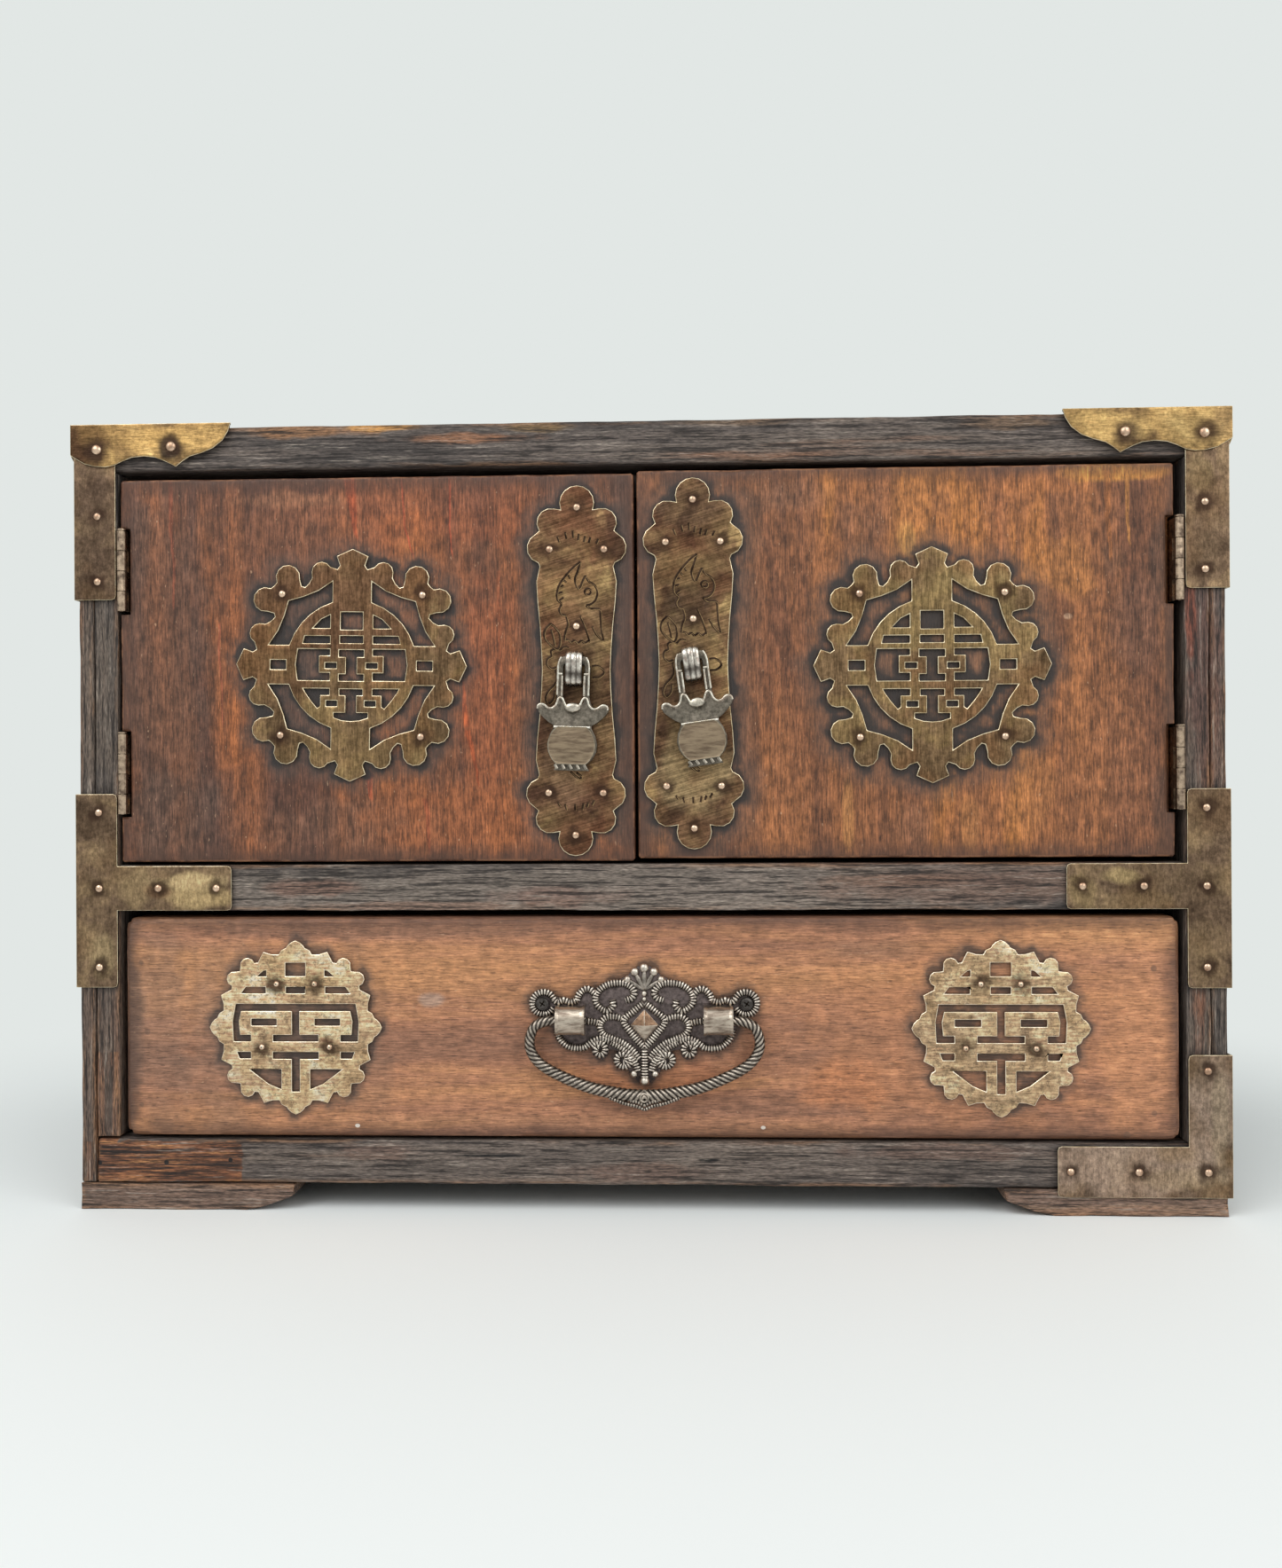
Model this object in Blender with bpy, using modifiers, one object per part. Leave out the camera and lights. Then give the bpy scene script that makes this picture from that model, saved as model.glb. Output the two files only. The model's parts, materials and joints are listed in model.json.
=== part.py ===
"""Tabletop chest: two hinged doors over one drawer, in a box of stained boards with aged brass fittings.

Units are metres. X runs across the front, Y from the front to the back and Z up, with the floor at Z = 0.
"""

import math

import bmesh
import bpy
from mathutils import Matrix, Vector

# Box
CHEST_WIDTH = 0.366
CHEST_DEPTH = 0.184
CHEST_HEIGHT = 0.253
TOP_BOARD = 0.014
SHELF_BOARD = 0.015
BOTTOM_BOARD = 0.0145
SIDE_PANEL = 0.005
BACK_PANEL = 0.004
STILE_WIDTH = 0.0078
STILE_DEPTH = 0.015
DRAWER_OPENING_HEIGHT = 0.0735
BOARD_EDGE = 0.0007

# Clearances
GLUE_GAP = 0.0002
SEAT_GAP = 0.0003
CUT_OVERRUN = 0.002

# Bracket feet
FOOT_HEIGHT = 0.0085
FOOT_LENGTH = 0.0700
FOOT_THICKNESS = 0.014
FOOT_PROFILE_SHARES = ((0, 0), (0.77, 0), (0.86, 0.16), (0.99, 0.55), (1, 1), (0, 1))

# Doors
DOOR_THICKNESS = 0.011
MEETING_X = -0.0022
MEETING_GAP = 0.0009
LEFT_DOOR_GAP = 0.0008
RIGHT_DOOR_GAP = 0.0029
DOOR_TOP_GAP = 0.0028
LEFT_DOOR_LIFT = 0.0008
RIGHT_DOOR_LIFT = 0.0015
DOOR_EDGE = 0.0008

# Butt hinges
HINGE_HEIGHT = 0.026
HINGE_BARREL_RADIUS = 0.00145
HINGE_PIN_RADIUS = 0.00070
HINGE_BORE_RADIUS = 0.00088
HINGE_LEAF = 0.0007
HINGE_LEAF_WIDTH = 0.0098
HINGE_PROUD = 0.0010
HINGE_KNUCKLE_GAP = 0.00025
HINGE_RUNNING_GAP = 0.00045
HINGE_KNUCKLES = 4
HINGE_PLACE_SHARES = (("upper", 0.745), ("lower", 0.231))
LEFT_KNUCKLE_NOTCH = 0.0007
RIGHT_KNUCKLE_NOTCH = 0.0022
KNUCKLE_NOTCH_DEPTH = 0.0045
PIN_HEAD = 0.0006

# Sheet brass on the box
BRASS = 0.0006
BRASS_CORNER = 0.0014
SIDE_FLANGE = 0.0138
STRAP_BELOW_TOP = 0.0557
TEE_ABOVE_SHELF = 0.0305
TEE_BELOW_SHELF = 0.0320
TEE_ARM_LENGTH = 0.0510
TEE_ARM_HEIGHT = 0.0143
ELBOW_ABOVE_FLOOR = 0.0280
ELBOW_OVER_FOOT = 0.0023
ELBOW_ARM_LENGTH = 0.0542
ELBOW_ARM_BELOW_EDGE = 0.0008
CAP_LENGTH = 0.0525
CAP_DROP = 0.0140
CAP_STRAP_OVERLAP_GAP = 0.0002
CAP_EDGE_SHARES = (
    (0, 0.70), (0.03, 0.78), (0.09, 0.91), (0.16, 0.975), (0.22, 0.99), (0.275, 0.95), (0.325, 0.86),
    (0.385, 0.775), (0.46, 0.75), (0.53, 0.78), (0.58, 0.85), (0.625, 0.93), (0.66, 1.0), (0.70, 0.88),
    (0.745, 0.77), (0.82, 0.69), (0.89, 0.585), (0.95, 0.41), (0.985, 0.20), (1, 0),
)
CAP_TOP_SHARES = ((1, 0), (0.95, 0.13), (0.84, 0.24), (0.70, 0.28), (0.60, 0.36), (0.50, 0.40), (0.43, 0.43))

# Nail heads, with their places counted from the edges of the sheet that they hold
NAIL_HEIGHT = 0.0005
NAIL_TOP_SHARE = 0.6
NAIL_SIDES = 8
CAP_NAIL_RADIUS = 0.0015
STRAP_NAIL_RADIUS = 0.0011
FRET_NAIL_RADIUS = 0.0010
SMALL_NAIL_RADIUS = 0.0008
NAIL_INSET = 0.0076
CAP_NAILS = ((0.0087, 0.0082), (0.0331, 0.0075))
CAP_TOP_NAIL = 0.0120
STRAP_NAILS_UP = (0.0059, 0.0270)
TEE_NAILS_UP = (0.0065, 0.0565)
TEE_ARM_NAILS = (0.0076, 0.0270, 0.0460)
ELBOW_NAIL_UP = 0.0398
ELBOW_ARM_NAILS = (0.0076, 0.0290, 0.0502)
DOOR_MEDALLION_NAIL_SHARE = 0.607
DRAWER_MEDALLION_NAIL_SHARES = ((0.221, 0.500), (0.393, -0.225))
PLATE_NAIL_SHARES = ((0, 0.882), (0.147, 0.655), (0, 0.240), (0.147, -0.658), (0, -0.887))

# Fretwork medallions on the doors
DOOR_MEDALLION_RADIUS = 0.0374
DOOR_MEDALLION_THICKNESS = 0.0009
LEFT_MEDALLION_OUT = 0.0076
LEFT_MEDALLION_UP = 0.0012
RIGHT_MEDALLION_OUT = 0.0087
RIGHT_MEDALLION_UP = -0.0010
LEFT_MEDALLION_TURN = math.radians(-1.1)

# Fretwork medallions on the drawer
DRAWER_MEDALLION_RADIUS = 0.0280
DRAWER_MEDALLION_THICKNESS = 0.0009
DRAWER_MEDALLION_INSET = 0.0560

# Door pulls
PULL_PLATE_LENGTH = 0.1182
PULL_PLATE_THICKNESS = 0.0009
LEFT_PLATE_INSET = 0.0185
LEFT_PLATE_UP = -0.0012
RIGHT_PLATE_INSET = 0.0179
RIGHT_PLATE_UP = 0.0001
LEFT_PLATE_TURN = math.radians(-0.45)
LEFT_PIVOT_ASIDE = -0.0003
LEFT_PIVOT_UP = 0.0030
RIGHT_PIVOT_ASIDE = -0.0009
RIGHT_PIVOT_UP = 0.0022
PULL_PIVOT_STANDOFF = 0.0027
HOOK_WIDTH = 0.0053
HOOK_METAL = 0.0010
HOOK_INNER_RADIUS = 0.0019
HOOK_DROP = 0.0052
HOOK_EYE_SLACK = 0.0003
PULL_THICKNESS = 0.0014
PULL_LENGTH = 0.0349
PULL_BAR = 0.0026
PULL_SLOT_WIDTH = 0.0067
PULL_SLOT_CORNER = 0.0008
PULL_POT_RADIUS = 0.0076
PULL_POT_HEIGHT = 0.0116
PULL_POT_BULGE = 0.0017
PULL_POT_SHARE = 0.772
LEFT_PULL_TURN = math.radians(-1.9)
RIGHT_PULL_TURN = math.radians(7.6)

# Magnetic catch
CATCH_WIDTH = 0.030
CATCH_DEPTH = 0.009
CATCH_HEIGHT = 0.008
STRIKE_WIDTH = 0.011
STRIKE_HEIGHT = 0.0075
STRIKE_THICKNESS = 0.0006

# Drawer
DRAWER_FRONT_THICKNESS = 0.011
DRAWER_SIDE_GAP = 0.0018
DRAWER_TOP_GAP = 0.0020
DRAWER_BOTTOM_GAP = 0.0009
DRAWER_SIDE = 0.008
DRAWER_SIDE_HEIGHT = 0.060
DRAWER_SIDE_INSET = 0.0012
DRAWER_BOTTOM = 0.003
DRAWER_BACK = 0.007
DRAWER_BACK_GAP = 0.0009
DRAWER_FRONT_EDGE = 0.0016
GUIDE_HEIGHT = 0.012
GUIDE_RUNNING_GAP = 0.0007

# Drawer pull
BACKPLATE_WIDTH = 0.0728
BACKPLATE_THICKNESS = 0.0014
BAIL_AXIS_UP = 0.0028
BAIL_AXIS_STANDOFF = 0.0040
BAIL_RADIUS = 0.0017
BAIL_DROP = 0.0238
BAIL_SIDES = 10
SADDLE_SPACING_SHARE = 0.643
SADDLE_WIDTH = 0.0090
SADDLE_HEIGHT = 0.0086
SADDLE_BORE_RADIUS = 0.0021
SADDLE_WALL = 0.0012
DIAMOND_WIDTH = 0.0084
DIAMOND_HEIGHT = 0.0016
DIAMOND_BELOW_AXIS = 0.0018
DIAMOND_TIP_RADIUS = 0.0001
SCREW_HEAD_RADIUS = 0.0020
SCREW_HEAD_HEIGHT = 0.0010
SCREW_SHANK_RADIUS = 0.0011
SCREW_LENGTH = 0.0080
SCREW_HOLE_GAP = 0.0003
EYE_CENTRE_SHARE = (0.890, 0.143)

# Fineness of round shapes
LOBE_STEPS = 5
ROUND_SIDES = 14
BARREL_STEPS = 12

# Where the sizes put things
HARDWARE_REACH = BAIL_AXIS_STANDOFF + SADDLE_BORE_RADIUS + SADDLE_WALL
FRONT = (HARDWARE_REACH - CHEST_DEPTH) / 2
BACK = FRONT + CHEST_DEPTH
HALF_WIDTH = CHEST_WIDTH / 2
INSIDE_X = HALF_WIDTH - SIDE_PANEL - GLUE_GAP
OPENING_X = INSIDE_X - STILE_WIDTH
BOARD_BACK = BACK - BACK_PANEL - GLUE_GAP
FLOOR_Z = FOOT_HEIGHT + BOTTOM_BOARD
SHELF_Z = FLOOR_Z + DRAWER_OPENING_HEIGHT
SHELF_TOP_Z = SHELF_Z + SHELF_BOARD
CEILING_Z = CHEST_HEIGHT - TOP_BOARD
DRAWER_LOW_Z = FLOOR_Z + DRAWER_BOTTOM_GAP
DRAWER_HIGH_Z = SHELF_Z - DRAWER_TOP_GAP
DRAWER_MIDDLE_Z = (DRAWER_LOW_Z + DRAWER_HIGH_Z) / 2
DRAWER_HALF_WIDTH = OPENING_X - DRAWER_SIDE_GAP
BAIL_AXIS_Z = DRAWER_MIDDLE_Z + BAIL_AXIS_UP
SADDLE_SPACING = BACKPLATE_WIDTH * SADDLE_SPACING_SHARE
HINGE_AXIS_IN = SEAT_GAP + HINGE_BARREL_RADIUS
HINGE_AXIS_Y = FRONT - HINGE_PROUD
DOOR_HEIGHT = CEILING_Z - SHELF_TOP_Z - DOOR_TOP_GAP - LEFT_DOOR_LIFT
DOOR_FACE = FRONT - SEAT_GAP
BRASS_FRONT = FRONT - SEAT_GAP - BRASS
BRASS_SIDE = HALF_WIDTH + SEAT_GAP + BRASS
SMALLEST_EDGE = 1e-6
SNAP_DECIMALS = 7

# Fretwork, as shares of a medallion's radius. Only the right half is listed, and the left one mirrors it.
DOOR_OCTANT_SHARES = ((0, 1), (0.139, 0.936), (0.110, 0.856), (0.131, 0.824))
DOOR_DIP_SHARES = ((0.350, 0.749), (0.374, 0.703), (0.409, 0.668), (0.4385, 0.676))
DOOR_NOTCH_SHARE = (0.678, 0.678)
DOOR_SMALL_LOBE_SHARE = (0.267, 0.800, 0.088)
DOOR_ROUND_LOBE_SHARE = (0.559, 0.751, 0.107)
SPANDREL_SHARES = (
    (0.717, 0.171), (0.636, 0.291), (0.583, 0.422), (0.548, 0.548), (0.422, 0.583), (0.291, 0.636),
    (0.171, 0.717),
)
RING_SHARE = 0.567
DOOR_CENTRE_HOLE_SHARES = (
    ((0.095, 0.306), (0.095, 0.455)),
    ((0.099, 0.190), (0.099, 0.251)),
    ((0, 0.131), (0.107, 0.131), (0.107, 0.072), (0.045, 0.072), (0.045, -0.078), (0.107, -0.078),
     (0.107, -0.134), (0, -0.134)),
    ((0, -0.206), (0.099, -0.206), (0.099, -0.257), (0.045, -0.257), (0.045, -0.409), (0.147, -0.409),
     (0.147, -0.449), (0.075, -0.472), (0, -0.479)),
)
DOOR_SIDE_HOLE_SHARES = (
    ((0.187, 0.318), (0.187, 0.430), (0.262, 0.393), (0.334, 0.318)),
    ((0.187, 0.187), (0.187, 0.249), (0.405, 0.249), (0.420, 0.187)),
    ((0.187, 0.136), (0.187, 0.083), (0.281, 0.083), (0.281, -0.067), (0.187, -0.067), (0.187, -0.131),
     (0.463, -0.131), (0.481, 0), (0.463, 0.136)),
    ((0.128, -0.027), (0.128, 0.020), (0.226, 0.020), (0.226, -0.027)),
    ((0.187, -0.203), (0.187, -0.257), (0.267, -0.257), (0.267, -0.355), (0.290, -0.370), (0.345, -0.305),
     (0.395, -0.235), (0.413, -0.203)),
    ((0.120, -0.353), (0.120, -0.305), (0.214, -0.305), (0.214, -0.353)),
    ((0.567, -0.040), (0.567, 0.040), (0.701, 0.040), (0.701, -0.040)),
)
DRAWER_OCTANT_SHARES = (
    (0, 1), (0.054, 0.975), (0.093, 0.939), (0.107, 0.914), (0.164, 0.886), (0.193, 0.836), (0.275, 0.839),
    (0.371, 0.868), (0.400, 0.811), (0.436, 0.743), (0.461, 0.743),
)
DRAWER_LOBE_SHARE = (0.557, 0.714, 0.086)
DRAWER_NOTCH_SHARE = (0.645, 0.645)
DRAWER_CENTRE_HOLE_SHARES = (
    ((0.115, 0.589), (0.115, 0.743)),
    ((0.111, 0.391), (0.111, 0.466)),
    ((0, 0.270), (0.693, 0.270), (0.729, 0.071), (0.718, -0.161), (0.521, -0.161), (0.521, -0.086),
     (0.648, -0.086), (0.661, 0.071), (0.634, 0.189), (0.041, 0.189), (0.041, -0.086), (0.261, -0.086),
     (0.261, -0.161), (0, -0.161)),
    ((0, -0.282), (0.264, -0.282), (0.264, -0.361), (0.045, -0.361), (0.045, -0.736), (0, -0.736)),
)
DRAWER_SIDE_HOLE_SHARES = (
    ((0.339, 0.586), (0.339, 0.657), (0.370, 0.650), (0.446, 0.586)),
    ((0.346, 0.391), (0.346, 0.466), (0.575, 0.466), (0.632, 0.391)),
    ((0.221, 0.021), (0.221, 0.100), (0.513, 0.100), (0.513, 0.021)),
    ((0.521, -0.357), (0.521, -0.282), (0.679, -0.282), (0.650, -0.357)),
    ((0.168, -0.709), (0.168, -0.479), (0.536, -0.479), (0.316, -0.646)),
)

# Upper right quarter of a pull plate, as shares of its half length
PLATE_END_LOBE_SHARE = (0, 0.905, 0.095)
PLATE_SHOULDER_LOBE_SHARE = (0.140, 0.800, 0.078)
PLATE_SIDE_LOBE_SHARE = (0.186, 0.663, 0.0846)
PLATE_WAIST_SHARES = (
    (0.200, 0.562), (0.218, 0.482), (0.2115, 0.372), (0.198, 0.237), (0.1895, 0.1015), (0.186, 0),
)

# Right half of a drop pull below its bar, as shares of its length
PULL_NECK_SHARES = (
    (0.147, -0.330), (0.158, -0.385), (0.178, -0.430), (0.202, -0.450), (0.236, -0.438), (0.262, -0.405),
    (0.290, -0.395), (0.320, -0.408), (0.330, -0.438), (0.310, -0.478), (0.274, -0.519), (0.218, -0.567),
    (0.174, -0.590),
)
PULL_BODY_SHARES = (
    (0.175, -0.618), (0.209, -0.682), (0.228, -0.759), (0.221, -0.828), (0.189, -0.894), (0.143, -0.937),
    (0.129, -0.946), (0.134, -0.957), (0.165, -1.0), (0, -1.0),
)
PULL_ARCH_LOBE_SHARE = (0, -0.069, 0.147)
PULL_SLOT_BOTTOM_SHARE = 0.395

# Right half of the drawer pull's backplate, as shares of its half width, from the crest down to the tip
CREST_SHARES = (
    (0, 0.475), (0.044, 0.467), (0.102, 0.431), (0.143, 0.385), (0.209, 0.352), (0.297, 0.330),
    (0.371, 0.286), (0.407, 0.261), (0.451, 0.280), (0.511, 0.264), (0.560, 0.220), (0.602, 0.170),
    (0.692, 0.154), (0.769, 0.203),
)
EYE_RADIUS_SHARE = 0.110
SKIRT_SHARES = (
    (0.832, 0.022), (0.797, -0.060), (0.780, -0.143), (0.728, -0.220), (0.646, -0.264), (0.549, -0.258),
    (0.473, -0.239),
)
SMALL_SCROLL_SHARE = (0.387, -0.275, 0.077)
SCROLL_NECK_SHARES = ((0.272, -0.262),)
BIG_SCROLL_SHARE = (0.187, -0.349, 0.085)
TIP_SHARES = ((0.115, -0.490), (0.045, -0.550), (0, -0.574))

# Right half of the bail's centre line, as shares of its half width and its drop
BAIL_SHARES = (
    (0.826, 0), (0.885, -0.015), (0.938, -0.060), (0.978, -0.145), (0.998, -0.250), (0.995, -0.360),
    (0.965, -0.470), (0.905, -0.575), (0.820, -0.665), (0.715, -0.745), (0.590, -0.825), (0.450, -0.893),
    (0.300, -0.947), (0.150, -0.986), (0, -1),
)
BAIL_SWELL_SHARE = 0.45

COLOURS = {
    "red_wood": ((0.23, 0.085, 0.045, 1), 0.45, 0.0),
    "dark_wood": ((0.075, 0.050, 0.042, 1), 0.55, 0.0),
    "raw_wood": ((0.42, 0.27, 0.16, 1), 0.70, 0.0),
    "aged_brass": ((0.33, 0.24, 0.12, 1), 0.42, 1.0),
    "pale_brass": ((0.55, 0.42, 0.25, 1), 0.40, 1.0),
    "grey_metal": ((0.28, 0.26, 0.24, 1), 0.38, 1.0),
}


def clear_scene():
    """Empties the scene of its objects."""
    for obj in list(bpy.data.objects):
        bpy.data.objects.remove(obj, do_unlink=True)


def make_collection(name):
    """A new collection in the scene."""
    made = bpy.data.collections.new(name)
    bpy.context.scene.collection.children.link(made)
    return made


def make_materials():
    """One Principled material for each colour."""
    made = {}
    for name, (colour, roughness, metallic) in COLOURS.items():
        material = bpy.data.materials.new(name)
        material.use_nodes = True
        shader = material.node_tree.nodes["Principled BSDF"]
        shader.inputs["Base Color"].default_value = colour
        shader.inputs["Roughness"].default_value = roughness
        shader.inputs["Metallic"].default_value = metallic
        made[name] = material
    return made


clear_scene()
CHEST = make_collection("tabletop_chest")
CUTTERS = make_collection("cutters")
MATERIALS = make_materials()


def add_object(name, mesh, material, location=(0, 0, 0)):
    """Puts a mesh in the chest as one named object."""
    obj = bpy.data.objects.new(name, mesh)
    obj.location = location
    mesh.materials.clear()
    mesh.materials.append(MATERIALS[material])
    CHEST.objects.link(obj)
    return obj


def mesh_from_bmesh(name, shape):
    """Ends a bmesh and returns it as a mesh."""
    bmesh.ops.recalc_face_normals(shape, faces=shape.faces)
    mesh = bpy.data.meshes.new(name)
    shape.to_mesh(mesh)
    shape.free()
    return mesh


def add_box(name, low, high, material, edge=0.0):
    """A box between two corners, with its edges rounded by a Bevel."""
    low, high = Vector(low), Vector(high)
    shape = bmesh.new()
    bmesh.ops.create_cube(shape, size=1, matrix=Matrix.Diagonal((*(high - low), 1)))
    obj = add_object(name, mesh_from_bmesh(name, shape), material, (low + high) / 2)
    if edge:
        bevel = obj.modifiers.new("edge", "BEVEL")
        bevel.width = edge
        bevel.segments = 2
    return obj


def add_rod(name, start, end, radius, material, sides=ROUND_SIDES):
    """A round bar from one point to another."""
    start, end = Vector(start), Vector(end)
    along = end - start
    shape = bmesh.new()
    bmesh.ops.create_cone(
        shape, cap_ends=True, segments=sides, radius1=radius, radius2=radius, depth=along.length,
        matrix=along.to_track_quat("Z", "Y").to_matrix().to_4x4(),
    )
    return add_object(name, mesh_from_bmesh(name, shape), material, (start + end) / 2)


def baked_mesh(obj):
    """The object's evaluated mesh in world space, welded and snapped so that flush faces meet exactly."""
    bpy.context.view_layer.update()
    graph = bpy.context.evaluated_depsgraph_get()
    mesh = bpy.data.meshes.new_from_object(obj.evaluated_get(graph))
    mesh.transform(obj.matrix_world)
    shape = bmesh.new()
    shape.from_mesh(mesh)
    bpy.data.meshes.remove(mesh)
    bmesh.ops.remove_doubles(shape, verts=shape.verts, dist=SMALLEST_EDGE)
    for vert in shape.verts:
        vert.co = [round(value, SNAP_DECIMALS) for value in vert.co]
    return mesh_from_bmesh(obj.name, shape)


def add_plate(name, outlines, thickness, material, location=(0, 0, 0), facing="front", turn=0.0):
    """A flat outline, with any further outlines as its holes, thickened evenly about its own plane.

    It is drawn as X and Z when it faces the front, as Y and Z when it faces a side, and as X and Y when it
    faces up.
    """
    curve = bpy.data.curves.new(name, "CURVE")
    curve.dimensions = "2D"
    curve.fill_mode = "BOTH"
    curve.extrude = thickness / 2
    for outline in outlines:
        spline = curve.splines.new("POLY")
        spline.points.add(len(outline) - 1)
        for point, (across, up) in zip(spline.points, outline):
            point.co = (across, up, 0, 1)
        spline.use_cyclic_u = True
    drawn = bpy.data.objects.new(name, curve)
    CHEST.objects.link(drawn)
    mesh = baked_mesh(drawn)
    bpy.data.objects.remove(drawn)
    quarter = math.pi / 2
    if facing != "up":
        mesh.transform(Matrix.Rotation(quarter, 4, "X"))
    if facing == "side":
        mesh.transform(Matrix.Rotation(quarter, 4, "Z"))
    mesh.transform(Matrix.Rotation(-turn, 4, "Y"))
    return add_object(name, mesh, material, location)


def bake(obj):
    """Puts an object's evaluated shape straight into world space. Its origin is put back at the end."""
    mesh = baked_mesh(obj)
    material = obj.data.materials[0]
    obj.modifiers.clear()
    obj.data = mesh
    mesh.materials.clear()
    mesh.materials.append(material)
    mesh.name = obj.name
    obj.location = (0, 0, 0)


def combine(body, tool, operation, solver="EXACT"):
    """Adds a second solid to the first one or cuts it away. The second goes to the cutters' collection."""
    bake(body)
    bake(tool)
    CHEST.objects.unlink(tool)
    CUTTERS.objects.link(tool)
    tool.hide_render = True
    tool.display_type = "WIRE"
    modifier = body.modifiers.new(operation, "BOOLEAN")
    modifier.operation = operation
    modifier.solver = solver
    modifier.object = tool
    bake(body)
    return body


def add_empty(name, location, parent=None):
    """An empty on a joint's axis, for the pieces that move together."""
    empty = bpy.data.objects.new(name, None)
    CHEST.objects.link(empty)
    empty.location = location
    if parent:
        hang(empty, parent)
    return empty


def hang(child, parent):
    """Parents an object and leaves it where it is."""
    bpy.context.view_layer.update()
    child.parent = parent
    child.matrix_parent_inverse = parent.matrix_world.inverted()


def arc(lobe, start, end, steps=LOBE_STEPS):
    """Points round a lobe, given as its centre and its radius, between two angles in degrees."""
    across, up, radius = lobe
    angles = [math.radians(start + (end - start) * step / steps) for step in range(steps + 1)]
    return [(across + radius * math.cos(angle), up + radius * math.sin(angle)) for angle in angles]


def scaled(points, across, up=None):
    """Shares turned into sizes."""
    up = across if up is None else up
    return [(x * across, y * up) for x, y in points]


def turned(points, turn, place):
    """Points in the plane of the front, turned about a place and moved to it."""
    cos, sin = math.cos(turn), math.sin(turn)
    return [(place[0] + x * cos - z * sin, place[1], place[2] + x * sin + z * cos) for x, z in points]


def mirrored(half):
    """A whole outline from its right half, which runs from top to bottom."""
    return list(half) + [(-x, y) for x, y in reversed(half) if x > 0]


def both_sides(places):
    """Places on the centre line, and the others on both sides of it."""
    return list(places) + [(-x, y) for x, y in places if x > 0]


def ring_of_octants(octant):
    """A closed outline from the eighth of it that runs from the top to the diagonal."""
    quarter = list(octant) + [(y, x) for x, y in reversed(octant[:-1])]
    outline = []
    for turn in range(4):
        outline += quarter[:-1]
        quarter = [(y, -x) for x, y in quarter]
    return outline


def rounded_corners(points, radius, rounded):
    """Replaces the numbered corners of a polygon with two short cuts of a round corner."""
    made = []
    for number, corner in enumerate(points):
        corner = Vector(corner)
        if number not in rounded:
            made.append(tuple(corner))
            continue
        before = (Vector(points[number - 1]) - corner).normalized()
        after = (Vector(points[(number + 1) % len(points)]) - corner).normalized()
        for share in (0, 0.5, 1):
            blend = (1 - share) ** 2 * before + share ** 2 * after
            made.append(tuple(corner + radius * blend))
    return made


def make_box_boards():
    """Top, shelf, bottom, sides, back and the two front stiles."""
    low, high = FOOT_HEIGHT + GLUE_GAP, CEILING_Z - GLUE_GAP
    add_box(
        "top_board", (-HALF_WIDTH, FRONT, CEILING_Z), (HALF_WIDTH, BACK, CHEST_HEIGHT), "dark_wood",
        BOARD_EDGE,
    )
    add_box(
        "bottom_board", (-INSIDE_X, FRONT, low), (INSIDE_X, BOARD_BACK, FLOOR_Z), "dark_wood", BOARD_EDGE,
    )
    add_box("back_panel", (-INSIDE_X, BACK - BACK_PANEL, low), (INSIDE_X, BACK, high), "raw_wood")
    notch_back = FRONT + STILE_DEPTH + GLUE_GAP
    notch_x = OPENING_X - GLUE_GAP
    half = [(notch_x, FRONT), (notch_x, notch_back), (INSIDE_X, notch_back), (INSIDE_X, BOARD_BACK)]
    outline = half + [(-x, y) for x, y in reversed(half)]
    add_plate(
        "shelf_board", [outline], SHELF_BOARD, "dark_wood", (0, 0, SHELF_Z + SHELF_BOARD / 2), facing="up",
    )
    for side, sign in (("left", -1), ("right", 1)):
        near, far = sorted((sign * HALF_WIDTH, sign * (HALF_WIDTH - SIDE_PANEL)))
        add_box(f"side_panel_{side}", (near, FRONT, low), (far, BACK, high), "dark_wood", BOARD_EDGE)
        near, far = sorted((sign * INSIDE_X, sign * OPENING_X))
        add_box(
            f"front_stile_{side}", (near, FRONT, FLOOR_Z + GLUE_GAP), (far, FRONT + STILE_DEPTH, high),
            "dark_wood", BOARD_EDGE / 2,
        )


def make_feet():
    """Four bracket feet, each a front or back strip and a side strip mitred into one corner."""
    profile = scaled(FOOT_PROFILE_SHARES, FOOT_LENGTH, FOOT_HEIGHT)
    for side, sign in (("left", -1), ("right", 1)):
        for end, edge, inward in (("front", FRONT, 1), ("back", BACK, -1)):
            across = [(sign * (HALF_WIDTH - x), z) for x, z in profile]
            along = [(edge + inward * x, z) for x, z in profile]
            foot = add_plate(
                f"foot_{end}_{side}", [across], FOOT_THICKNESS, "dark_wood",
                (0, edge + inward * FOOT_THICKNESS / 2, 0),
            )
            strip = add_plate(
                "strip", [along], FOOT_THICKNESS, "dark_wood",
                (sign * (HALF_WIDTH - FOOT_THICKNESS / 2), 0, 0), facing="side",
            )
            combine(foot, strip, "UNION")


def add_wrapped_plate(name, outline, sign, low, high):
    """Sheet brass on the front, with a flange that folds back along the side between two heights."""
    plate = add_plate(name, [outline], BRASS, "aged_brass", (0, BRASS_FRONT + BRASS / 2, 0))
    flange = sorted((sign * BRASS_SIDE, sign * (BRASS_SIDE - BRASS)))
    tool = add_box(
        "flange", (flange[0], BRASS_FRONT, low), (flange[1], FRONT + SIDE_FLANGE, high), "aged_brass",
    )
    return combine(plate, tool, "UNION")


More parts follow.
